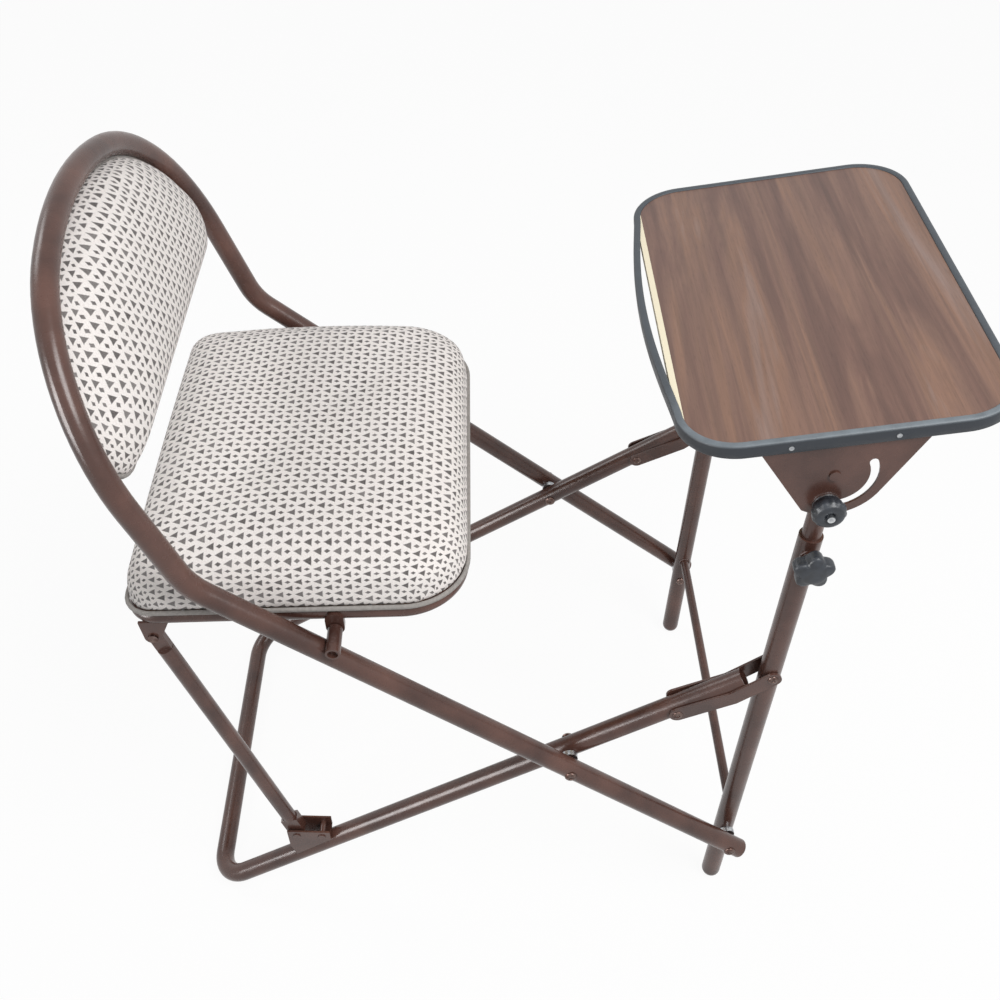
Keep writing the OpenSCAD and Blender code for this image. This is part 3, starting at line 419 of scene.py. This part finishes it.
def woven_marks(name, ground, shade, mark):
    """Woven cloth: rows of small triangles and dashes by turns, each row half a step on from the last,
    in millimetres of the attribute cloth_place. Each mark has its own strength of dye, by chance. Threads
    run both ways and show in bump and tone."""
    material, tree = new_material(name)

    def calc(operation, first, second=None):
        """The socket of one sum of one or two numbers or sockets."""
        if second is None:
            return joined(tree, "ShaderNodeMath", at_operation=operation, in_0=first).outputs[0]
        return math_of(tree, operation, first, second)

    def vector(operation, first, **rest):
        """The socket of one sum of vectors."""
        return joined(tree, "ShaderNodeVectorMath", at_operation=operation, in_0=first, **rest).outputs[0]

    laid = joined(tree, "ShaderNodeAttribute", at_attribute_name="cloth_place").outputs["Vector"]
    pull = joined(tree, "ShaderNodeTexNoise", Vector=laid, Scale=260.0, Detail=3.0).outputs["Color"]
    pull = vector("SCALE", vector("SUBTRACT", pull, in_1=(0.5, 0.5, 0.5)), Scale=0.0011)
    parts = joined(tree, "ShaderNodeSeparateXYZ", Vector=vector("ADD", laid, in_1=pull))
    run = calc("MULTIPLY", parts.outputs["X"], 1000.0)
    rise = calc("MULTIPLY", parts.outputs["Y"], 1000.0)
    row = calc("DIVIDE", rise, mark_rows)
    number = calc("FLOOR", row)
    off_middle = calc("MULTIPLY", calc("SUBTRACT", calc("SUBTRACT", row, number), 0.5), mark_rows)
    off_middle = calc("ABSOLUTE", off_middle)
    half_step = calc("MULTIPLY", calc("FLOORED_MODULO", number, 2.0), mark_run / 2)
    along_row = calc("ADD", run, half_step)
    step = calc("FLOORED_MODULO", along_row, mark_run)
    in_wedge = calc("SUBTRACT", calc("MULTIPLY", step, triangle_slope), off_middle)
    triangle = calc("MINIMUM", in_wedge, calc("SUBTRACT", triangle_len, step))
    from_dash = calc("ABSOLUTE", calc("SUBTRACT", step, dash_place))
    dash = calc("SUBTRACT", calc("SUBTRACT", dash_half, off_middle), calc("MULTIPLY", from_dash, dash_slope))
    marked = spread(tree, calc("MAXIMUM", triangle, dash), -0.25, 0.35)
    weft = calc("SINE", calc("MULTIPLY", rise, 2 * math.pi / weft_pitch))
    warp = calc("SINE", calc("MULTIPLY", run, 2 * math.pi / warp_pitch))
    threads = calc("MULTIPLY", calc("ADD", weft, warp), 0.25)
    lightness = calc("ADD", calc("MULTIPLY", threads, 0.5), noise(tree, laid, 900.0, 2.0))
    yarn = spread(tree, lightness, 0.3, 0.75)
    pale = mixed(tree, yarn, shade, ground)
    which = calc("FLOOR", calc("DIVIDE", along_row, mark_run / 2))
    which = joined(tree, "ShaderNodeCombineXYZ", X=which, Y=number)
    chance = joined(tree, "ShaderNodeTexWhiteNoise", Vector=which.outputs[0]).outputs["Value"]
    dyed = spread(tree, chance, 0.0, 1.0, 0.84, 1.0)
    dyed = calc("MULTIPLY", calc("MULTIPLY", marked, spread(tree, lightness, 0.2, 0.95, 1.0, 0.8)), dyed)
    relief = calc("SUBTRACT", threads, calc("MULTIPLY", marked, 0.5))
    surface(tree, Base_Color=mixed(tree, dyed, pale, mark), Normal=raised(tree, relief, 0.35, 0.0005),
            Roughness=0.85, Sheen_Weight=0.05)
    return material


woven = woven_marks("woven_marks", linear("#f5f1ee"), linear("#e0d8d4"), linear("#3a3433"))

seat_low, seat_high = np.round(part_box("seat_cushion"), 4)
seat_rear, seat_front, seat_half, hem_low = seat_low[0], seat_high[0], seat_high[1], seat_low[2]
seat_rear_r, seat_front_r = 0.026, 0.058
side_h, crown_h, corner_drop = 0.044, 0.014, 0.012
tacked_h, shoulder_h = 0.006, 0.040
slack = 0.003
seat_arcs = corner_arcs(seat_rear, seat_front, seat_half, seat_rear_r, seat_front_r)

level = np.linspace(0.0, 1.0, 36)
level_shares = [0, 0.08, 0.16, 0.3, 0.42, 0.52, 0.62, 0.74, 0.86, 1.0]
inward = np.interp(level, level_shares, [0.01, 0, 0, 0.008, 0.03, 0.08, 0.2, 0.4, 0.65, 1.0])
height = side_h * np.interp(level, level_shares, [0, 0.12, 0.26, 0.62, 0.82, 0.93, 0.985, 1, 1, 1])
height += crown_h * np.interp(inward, [0.03, 0.1, 0.2, 0.34, 0.52, 1.0], [0, 0.4, 0.68, 0.88, 1, 1])
height -= slack * level
outline = around(seat_arcs, 160)
middle = np.array([(seat_rear + seat_front) / 2, 0.0])
ring = middle + (outline - middle)[None] * (1 - inward[:, None, None]) * (1 - slack / seat_half)
side = np.abs(outline - middle) / np.array([(seat_front - seat_rear) / 2, seat_half])
near_corner = (side[:, 0] * side[:, 1]) ** 2
from_foot = np.clip(level * 1.8 - 0.3, 0, 1) * (1 - inward)
tall = hem_low + height[:, None] - corner_drop * near_corner * from_foot[:, None]
grid = np.concatenate([ring, tall[..., None]], 2)
seat_cover = skin("seat_cover", grid, woven, around_v=True, closed_ends=True)
stuff(seat_cover, lambda p: p[:, 2] < hem_low + tacked_h, cap=0.002)
lay_cloth(seat_cover, aside, ahead, upwards, hem_low + shoulder_h)
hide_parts("seat_cushion")
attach(seat_cover, "seat")

# Backrest cushion
# The same cloth over foam on a plywood board that follows the loop. It bulges towards the
# sitter, hangs a little lower than its board, and its lower edge is straight and soft.

rest_foot = np.array([-0.27467, 0.0, 0.52890])
rest_lean = math.radians(18.35)
rest_ahead = np.array([math.cos(rest_lean), 0.0, math.sin(rest_lean)])
rest_rise = np.array([-math.sin(rest_lean), 0.0, math.cos(rest_lean)])
rest_corner, rest_corner_r = (0.1546, 0.124), 0.0316
rest_shoulder, rest_shoulder_r = (0.042, 0.087), 0.1501
rest_crown, rest_crown_r = (0.0, -0.057), 0.3001
corner_end, shoulder_end = 18.19, 73.74
rest_arcs = (
    (*rest_corner, rest_corner_r, -90, corner_end),
    (*rest_shoulder, rest_shoulder_r, corner_end, shoulder_end),
    (*rest_crown, rest_crown_r, shoulder_end, 180 - shoulder_end),
    (-rest_shoulder[0], rest_shoulder[1], rest_shoulder_r, 180 - shoulder_end, 180 - corner_end),
    (-rest_corner[0], rest_corner[1], rest_corner_r, 180 - corner_end, 270),
)
rest_back = -0.009
rest_side_h, rest_crown_h = 0.013, 0.028
rest_tacked_h, rest_shoulder_h = 0.004, 0.021


def on_loop(ring, off):
    """Points of the loop's plane (sideways, rise), moved off ahead of it, as places of the chair."""
    return rest_foot + off * rest_ahead + ring[..., 1:] * rest_rise + ring[..., :1] * aside


level = np.linspace(0.0, 1.0, 36)
level_shares = [0, 0.1, 0.2, 0.32, 0.42, 0.5, 0.6, 0.72, 0.86, 1.0]
inward = np.interp(level, level_shares, [0.02, 0, 0, 0.005, 0.035, 0.1, 0.24, 0.45, 0.7, 1.0])
off = rest_back + rest_side_h * np.interp(level, level_shares[:6], [0, 0.25, 0.5, 0.85, 1.0, 1.0])
off += rest_crown_h * np.interp(inward, [0.02, 0.1, 0.24, 0.45, 0.7, 1.0], [0, 0.34, 0.66, 0.88, 0.98, 1])
off -= slack * level
outline = around(rest_arcs, 150)
middle = np.array([0.0, 0.18])
ring = middle + (outline - middle)[None] * (1 - inward[:, None, None])
rest_cover = skin("rest_cover", on_loop(ring, off[:, None, None]), woven, around_v=True, closed_ends=True)
stuff(rest_cover, lambda p: (p - rest_foot) @ rest_ahead < rest_back + rest_tacked_h, cap=0.004)
lay_cloth(rest_cover, aside, -rest_rise, rest_ahead, rest_foot @ rest_ahead + rest_back + rest_shoulder_h)
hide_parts("backrest_cushion")
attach(rest_cover, "back")

# Hems of the two cushions
# A narrow grey tape is caught between each cushion's cloth and its board, and shows as
# a thin line all round, beside the tube.


def carried(profile, path, across):
    """Profile points (out, up) carried along a flat closed path: out lies square to the path in its plane,
    up along the plane's normal. Returns the grid of path points by profile points."""
    ahead_step = np.roll(path, -1, axis=0) - np.roll(path, 1, axis=0)
    along_path = ahead_step / np.linalg.norm(ahead_step, axis=1, keepdims=True)
    out = np.cross(along_path, across)
    return path[:, None] + profile[None, :, :1] * out[:, None] + profile[None, :, 1:] * across


def oval(half_a, half_b, count, centre):
    """Points of an oval about a centre."""
    a = np.linspace(0, 2 * np.pi, count, endpoint=False)
    return np.stack([centre[0] + half_a * np.cos(a), centre[1] + half_b * np.sin(a)], 1)


def hem_tape(name, dark, light):
    """Grey woven tape: a fine mottle in tone and bump."""
    material, tree = new_material(name)
    tone, cloud = mottled(tree, 420.0, 0.0, 1.0, dark, light)
    surface(tree, Base_Color=tone, Normal=raised(tree, cloud, 0.3, 0.0004), Roughness=0.8)
    return material


tape = hem_tape("grey_hem_tape", linear("#77736f"), linear("#aaa5a1"))
hem_count, tape_count = 200, 12
seat_tape_half, seat_tape_middle = (0.0020, 0.0024), (-0.0022, 0.0)
rest_tape_half, rest_tape_middle = (0.0022, 0.0036), (-0.0002, 0.001)
rest_tape_off = 0.003
outline = around(seat_arcs, hem_count)
path = np.concatenate([outline, np.full((hem_count, 1), hem_low + seat_tape_half[1])], 1)
seat_tape = carried(oval(*seat_tape_half, tape_count, seat_tape_middle), path, upwards)
seat_hem = skin("seat_hem", seat_tape, tape, around_u=True, around_v=True)
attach(seat_hem, "seat")
path = on_loop(around(rest_arcs, hem_count), rest_back + rest_tape_off)
rest_tape = carried(oval(*rest_tape_half, tape_count, rest_tape_middle), path, rest_ahead)
rest_hem = skin("rest_hem", rest_tape, tape, around_u=True, around_v=True)
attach(rest_hem, "back")

# Plywood under the cushions
# Thin beech plywood, cut to the cushions' outlines, unpainted and sealed, and screwed to
# the ring and to the tabs; it shows from behind and below.


def stretched(tree, scale, turn=0.0):
    """The place on the object, scaled along each axis and turned about Z by radians."""
    turned_by = (0.0, 0.0, turn)
    mapped = joined(tree, "ShaderNodeMapping", Vector=object_place(tree), Rotation=turned_by, Scale=scale)
    return mapped.outputs[0]


def plywood(name, dark, light):
    """Plywood face: long soft grain from a stretched noise."""
    material, tree = new_material(name)
    grain = noise(tree, stretched(tree, (60.0, 5.0, 60.0)), 3.0, 5.0, Distortion=0.6)
    tone = mixed(tree, spread(tree, grain, 0.3, 0.7), dark, light)
    surface(tree, Base_Color=tone, Normal=raised(tree, grain, 0.15, 0.0003), Roughness=0.6)
    return material


ply = plywood("beech_plywood", linear("#8a6a4c"), linear("#b5936c"))
finish_nodes(ply, "backrest_board", "seat_board")

# Desk top
# Particle board faced with walnut print laminate. The print's grain runs from side to
# side of the chair, in streaks of red brown, orange brown and grey brown.

tilt_low, tilt_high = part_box("tilt_pivot_rivets")
tilt_place = (np.array(tilt_low) + np.array(tilt_high)) / 2
tilt_slope = math.radians(7.3)
desk_x = np.array([math.cos(tilt_slope), 0.0, math.sin(tilt_slope)])
desk_z = np.array([-math.sin(tilt_slope), 0.0, math.cos(tilt_slope)])
desk_rear, desk_front, desk_half = -0.112, 0.139, 0.189
desk_low, desk_top = 0.0305, 0.0415
bare_rim = 0.005
grain_turn = 0.03
walnut = ((0.3, "#5c433b"), (0.43, "#6a4e44"), (0.52, "#775a4d"), (0.6, "#80604f"), (0.72, "#866f66"))


def ramp(tree, value, stops):
    """Colour that goes in straight lines through stops (value between 0 and 1, colour)."""
    node = joined(tree, "ShaderNodeValToRGB", Fac=value)
    elements = node.color_ramp.elements
    for spot, colour in stops:
        elements.new(spot).color = colour
    elements.remove(elements[-1])
    elements.remove(elements[0])
    return node.outputs[0]


def walnut_print(name, core):
    """Walnut laminate: broad streaks, fine grain and pores are three stretched noises, drawn out along Y.
    Along the sitter's edge the print has chipped off, and the core's colour shows."""
    material, tree = new_material(name)
    wide = stretched(tree, (12.0, 0.8, 12.0), grain_turn)
    streak = noise(tree, wide, 2.4, 4.0, Roughness=0.62, Distortion=1.1)
    tone = ramp(tree, streak, [(spot, linear(code)) for spot, code in walnut])
    grain = stretched(tree, (130.0, 3.0, 130.0), grain_turn)
    grain = noise(tree, grain, 1.6, 5.0, Roughness=0.65, Distortion=0.5)
    pores = noise(tree, stretched(tree, (1400.0, 90.0, 1400.0)), 1.0, 1.0)
    pitted = spread(tree, pores, 0.28, 0.42, 0.84, 1.0)
    shade = math_of(tree, "MULTIPLY", spread(tree, grain, 0.32, 0.62, 0.78, 1.06), pitted)
    wood = mixed(tree, 1.0, tone, shade, at_blend_type="MULTIPLY")
    pair = dict(in_0=object_place(tree), in_1=tuple(desk_x))
    along_desk = joined(tree, "ShaderNodeVectorMath", at_operation="DOT_PRODUCT", **pair).outputs["Value"]
    bare = math_of(tree, "LESS_THAN", along_desk, tilt_place @ desk_x + desk_rear + bare_rim)
    shown = mixed(tree, bare, wood, core)
    surface(tree, Base_Color=shown, Normal=raised(tree, grain, 0.12, 0.0002), Roughness=0.38)
    return material


def particle_board(name, dark, light):
    """Raw board edge: pale cream with flecks of chip."""
    material, tree = new_material(name)
    chips = joined(tree, "ShaderNodeTexVoronoi", Vector=object_place(tree), Scale=520.0).outputs
    tone = mixed(tree, chips["Color"], dark, light)
    surface(tree, Base_Color=tone, Normal=raised(tree, chips["Distance"], 0.3, 0.0005), Roughness=0.85)
    return material


finish_nodes(walnut_print("walnut_print", linear("#e9dfc4")), "desk_laminate")
finish_nodes(particle_board("particle_board", linear("#d9c79f"), linear("#fbf3dd")), "desk_board")

# Desk edging
# A soft rubber angle strip round the board, with a lip let in beside the laminate, held by
# nails; along the sitter's side it has come off and bows away from the board.

desk_corner_r = 0.045
edging_bow = 0.011
wall, lip, lip_t, laminate_t = 0.0022, 0.004, 0.0012, 0.001
outline = around(corner_arcs(desk_rear, desk_front, desk_half, desk_corner_r, desk_corner_r), 420)
reach = np.clip(1 - (outline[:, 1] / (desk_half - desk_corner_r)) ** 2, 0, 1)
outline[:, 0] -= np.where(outline[:, 0] < desk_rear + 1e-4, edging_bow * reach ** 1.2, 0.0)
path = tilt_place + outline[:, :1] * desk_x + outline[:, 1:] * aside
lip_top = desk_top + lip_t
profile = np.array([
    (0.0, desk_low + 0.0002), (0.0, desk_top - laminate_t), (-lip, desk_top - laminate_t),
    (-lip - 0.0001, desk_top + 0.0003), (-lip + 0.0006, lip_top - 0.0002), (-0.002, lip_top + 0.0001),
    (wall - 0.0022, lip_top), (wall - 0.0009, lip_top - 0.0003), (wall - 0.0002, lip_top - 0.0011),
    (wall, lip_top - 0.0022), (wall + 0.0002, (desk_low + desk_top) / 2), (wall, desk_low + 0.0008),
    (wall - 0.0006, desk_low),
])


def edging_rubber(name, dark, painted_lit_grey):
    """Dark slate rubber; a point attribute fades it to grey as painted light where the strip faces up."""
    material, tree = new_material(name)
    cloud = noise(tree, object_place(tree), 70.0, 5.0)
    painted_top_light = joined(tree, "ShaderNodeAttribute", at_attribute_name="painted_top_light").outputs["Fac"]
    share = math_of(tree, "MULTIPLY", painted_top_light, spread(tree, cloud, 0.3, 0.7, 0.6, 1.0))
    surface(tree, Base_Color=mixed(tree, share, dark, painted_lit_grey), Normal=raised(tree, cloud, 0.15, 0.0004),
            Roughness=spread(tree, cloud, 0.3, 0.7, 0.42, 0.58))
    return material


# The second colour is the pale grey of the painted light on the strip's top.
rubber = edging_rubber("slate_edging_rubber", linear("#272c33"), linear("#747c82"))
edging = skin("rubber_edging", carried(profile, path, desk_z), rubber, around_u=True, around_v=True)
# Painted light: the faces that look up are greyed as if lit from above, most along the −Y side near the lamp
# over the desk.
over_board = (corners(edging) - tilt_place) @ desk_z - desk_top
near_side = 0.25 + 0.75 * np.clip((-corners(edging)[:, 1] - 0.11) / 0.06, 0, 1)
painted_top_light = np.clip((over_board + 0.0002) / 0.0008, 0, 1) * near_side
edging.data.attributes.new("painted_top_light", "FLOAT", "POINT").data.foreach_set("value", painted_top_light)
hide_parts("desk_edging")
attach(edging, "desk")

# Rivet heads
# Each pivot is a steel rivet whose heads were domed over when it was set; the small
# hollow in the middle is the mark of the riveting tool.

leg_low, leg_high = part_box("left_leg_tube")
base_side = (leg_low[1] + leg_high[1]) / 2
tube_half = (leg_high[1] - leg_low[1]) / 2
back_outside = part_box("back_tube")[1][1]
plate_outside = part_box("outer_link_plates")[1][1]
gap = 0.0003
tube_head = (0.012, 0.0026)
plate_head = (0.010, 0.0016)


def turned(profile, count):
    """Profile points (radius, along) turned once about the Y axis at the origin: grid of points."""
    a = np.linspace(0, 2 * np.pi, count, endpoint=False)
    radius, along_y = profile[:, :1], np.broadcast_to(profile[:, 1:], (len(profile), count))
    return np.stack([radius * np.cos(a), along_y, radius * np.sin(a)], 2)


def joined_grids(name, grids, material):
    """One object of several grids that all close round their second direction."""
    points, faces, first = [], [], 0
    for grid in grids:
        nu, nv = grid.shape[:2]
        a, b = np.meshgrid(np.arange(nu - 1), np.arange(nv), indexing="ij")
        d = (b + 1) % nv
        cells = np.stack([a * nv + b, a * nv + d, (a + 1) * nv + d, (a + 1) * nv + b], -1)
        faces += (cells.reshape(-1, 4) + first).tolist()
        points.append(grid.reshape(-1, 3))
        first += nu * nv
    return solid(name, np.concatenate(points), faces, material)


def head_profile(width, rise):
    """Dome of a rivet: a quarter oval with a shallow hollow on its top, from the foot to the middle."""
    a = np.linspace(0, np.pi / 2, 9)
    dome = np.stack([width / 2 * np.cos(a) ** 0.8, rise * np.sin(a)], 1)[:-1]
    hollow = np.array([[width * 0.14, rise * 0.97], [width * 0.1, rise * 0.82], [0.0, rise * 0.76]])
    return np.concatenate([[[0.0, 0.0]], dome, hollow])


def middle_of(node):
    """The middle of a node's box, with y left at 0."""
    low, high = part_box(node)
    return np.array([(low[0] + high[0]) / 2, 0.0, (low[2] + high[2]) / 2])


def set_rivets(name, body, node, feet, width, rise):
    """Rivet heads on both sides, as one piece for the node: feet are the places along y where a head stands,
    each with the direction that its dome faces on the left side."""
    grids = [turned(head_profile(width, rise), 28) * [1, side * way, 1] + middle_of(node) + side * y * aside
             for side in (1, -1) for y, way in feet]
    made = joined_grids(name, grids, worn_heads)
    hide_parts(node)
    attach(made, body)


tube_feet = ((back_outside - 0.0004, 1), (base_side - tube_half - gap + 0.0002, -1))
plate_feet = ((plate_outside, 1), (2 * base_side - plate_outside, -1))
set_rivets("scissor_heads", "back", "scissor_rivets", tube_feet, *tube_head)
set_rivets("leg_heads", "back", "leg_pivot_rivets", tube_feet, *tube_head)
set_rivets("link_base_heads", "links", "link_base_rivets", plate_feet, *plate_head)
set_rivets("link_leg_heads", "links", "link_leg_rivets", plate_feet, *plate_head)

# Tilt knobs
# Round black knobs of hard plastic moulded on a nut, with shallow finger flutes and a
# domed face; the bright end of the stud stands out of the middle.

leg_lean = math.radians(2.3)
leg_up = np.array([math.sin(leg_lean), 0.0, math.cos(leg_lean)])
leg_ahead = np.array([math.cos(leg_lean), 0.0, -math.sin(leg_lean)])


def moulded_plastic(name, dark, light):
    """Moulded plastic: even dark tone with a faint mottle and a fine spark eroded bump."""
    material, tree = new_material(name)
    tone, cloud = mottled(tree, 130.0, 0.3, 0.75, dark, light)
    grit = noise(tree, object_place(tree), 1500.0, 1.0)
    surface(tree, Base_Color=tone, Roughness=spread(tree, cloud, 0.3, 0.7, 0.32, 0.46),
            Normal=raised(tree, grit, 0.12, 0.0003))
    return material


plastic = moulded_plastic("knob_plastic", linear("#23262b"), linear("#343941"))


def set_knobs(kind, curve, ripple):
    """A knob on each side: the curve (radius, along) in millimetres is turned once, its radius times ripple,
    and it stands outwards on the stud's axis, square to the leg, where the node's own foot is."""
    centre = middle_of(f"left_{kind}_stud")
    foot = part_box(f"left_{kind}_knob")[0][1]
    grid = turned(0.001 * curve, ripple.shape[1])
    across, rise = grid[..., :1] * ripple[..., None], grid[..., 2:] * ripple[..., None]
    for side, word in ((1, "left"), (-1, "right")):
        placed = centre + across * leg_ahead + rise * leg_up + side * (foot + grid[..., 1:2]) * aside
        knob = joined_grids(f"{word}_{kind}_grip", [placed], plastic)
        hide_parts(f"{word}_{kind}_knob")
        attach(knob, f"{word}_{kind}_knob")


knob_curve = np.array([
    [3.1, 0.0], [10.0, 0.0], [11.0, 0.5], [11.3, 3.3], [12.2, 4.1], [13.3, 4.9], [13.5, 6.2], [13.5, 9.2],
    [13.1, 10.3], [12.0, 11.3], [11.3, 12.4], [10.4, 13.3], [8.5, 13.8], [6.0, 14.0], [5.0, 13.7],
    [4.2, 12.4], [3.1, 12.4], [3.1, 0.0],
])
flutes, flute_depth_share = 12, 0.045
turn = np.linspace(0, 2 * np.pi, 96, endpoint=False)
grip = np.clip((knob_curve[:, :1] - 11.5) / 1.5, 0, 1)
set_knobs("tilt", knob_curve, 1 - flute_depth_share * grip * (0.5 - 0.5 * np.cos(flutes * turn)) ** 1.5)

# Height knobs
# Five lobed star knobs, larger, on a stud that goes through a welded boss; each presses
# on the post and holds the desk's height.

star_curve = np.array([
    [3.1, 0.0], [9.0, 0.0], [10.5, 0.5], [11.2, 2.0], [15.0, 2.3], [16.5, 3.0], [17.3, 4.6], [17.5, 7.1],
    [17.5, 10.7], [17.2, 12.6], [16.2, 13.9], [14.5, 14.4], [12.2, 14.6], [10.4, 15.3], [9.0, 15.8],
    [6.0, 16.0], [0.0, 15.8],
])
lobes, lobe_depth_share = 5, 0.27
turn = np.linspace(0, 2 * np.pi, 140, endpoint=False)
wave = (0.5 + 0.5 * np.cos(lobes * (turn - np.pi / 2))) ** 0.75
grip = np.clip((star_curve[:, :1] - 10.8) / 4.0, 0, 1)
set_knobs("height", star_curve, 1 - lobe_depth_share * grip * (1 - wave))

# Weld beads
# Short electric welds join the cross rod and the height bosses to the legs, and were
# painted over with them.


def bead(centre, outwards, radius, thick):
    """Weld bead: a ring of small round section about a centre, square to outwards, swollen in even
    ripples. Its first row is repeated at the end, so that it closes."""
    side_a = np.cross(outwards, [0.13, 0.71, 0.69])
    side_a /= np.linalg.norm(side_a)
    side_b = np.cross(outwards, side_a)
    a = np.linspace(0, 2 * np.pi, 65)[:, None, None]
    b = np.linspace(0, 2 * np.pi, 10, endpoint=False)[None, :, None]
    swell = thick * (1 + 0.18 * np.sin(a * 14))
    out = side_a * np.cos(a) + side_b * np.sin(a)
    return centre + out * (radius + swell * np.cos(b)) + outwards * (swell * np.sin(b))


bead_t = 0.0013
# Each ring stands about its node's axis: its place along y, and its radius.
bead_rings = {
    "leg_cross_rod": (base_side - tube_half + 0.0006, 0.0056),
    "height_bosses": (base_side + tube_half - 0.0012, 0.0072),
}
leg_beads = []
for node, (out_by, radius) in bead_rings.items():
    centre = middle_of(node)
    leg_beads += [bead(centre + side * out_by * aside, side * aside, radius, bead_t) for side in (1, -1)]
welds = joined_grids("leg_welds", leg_beads, tube_paint)
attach(welds, "legs")
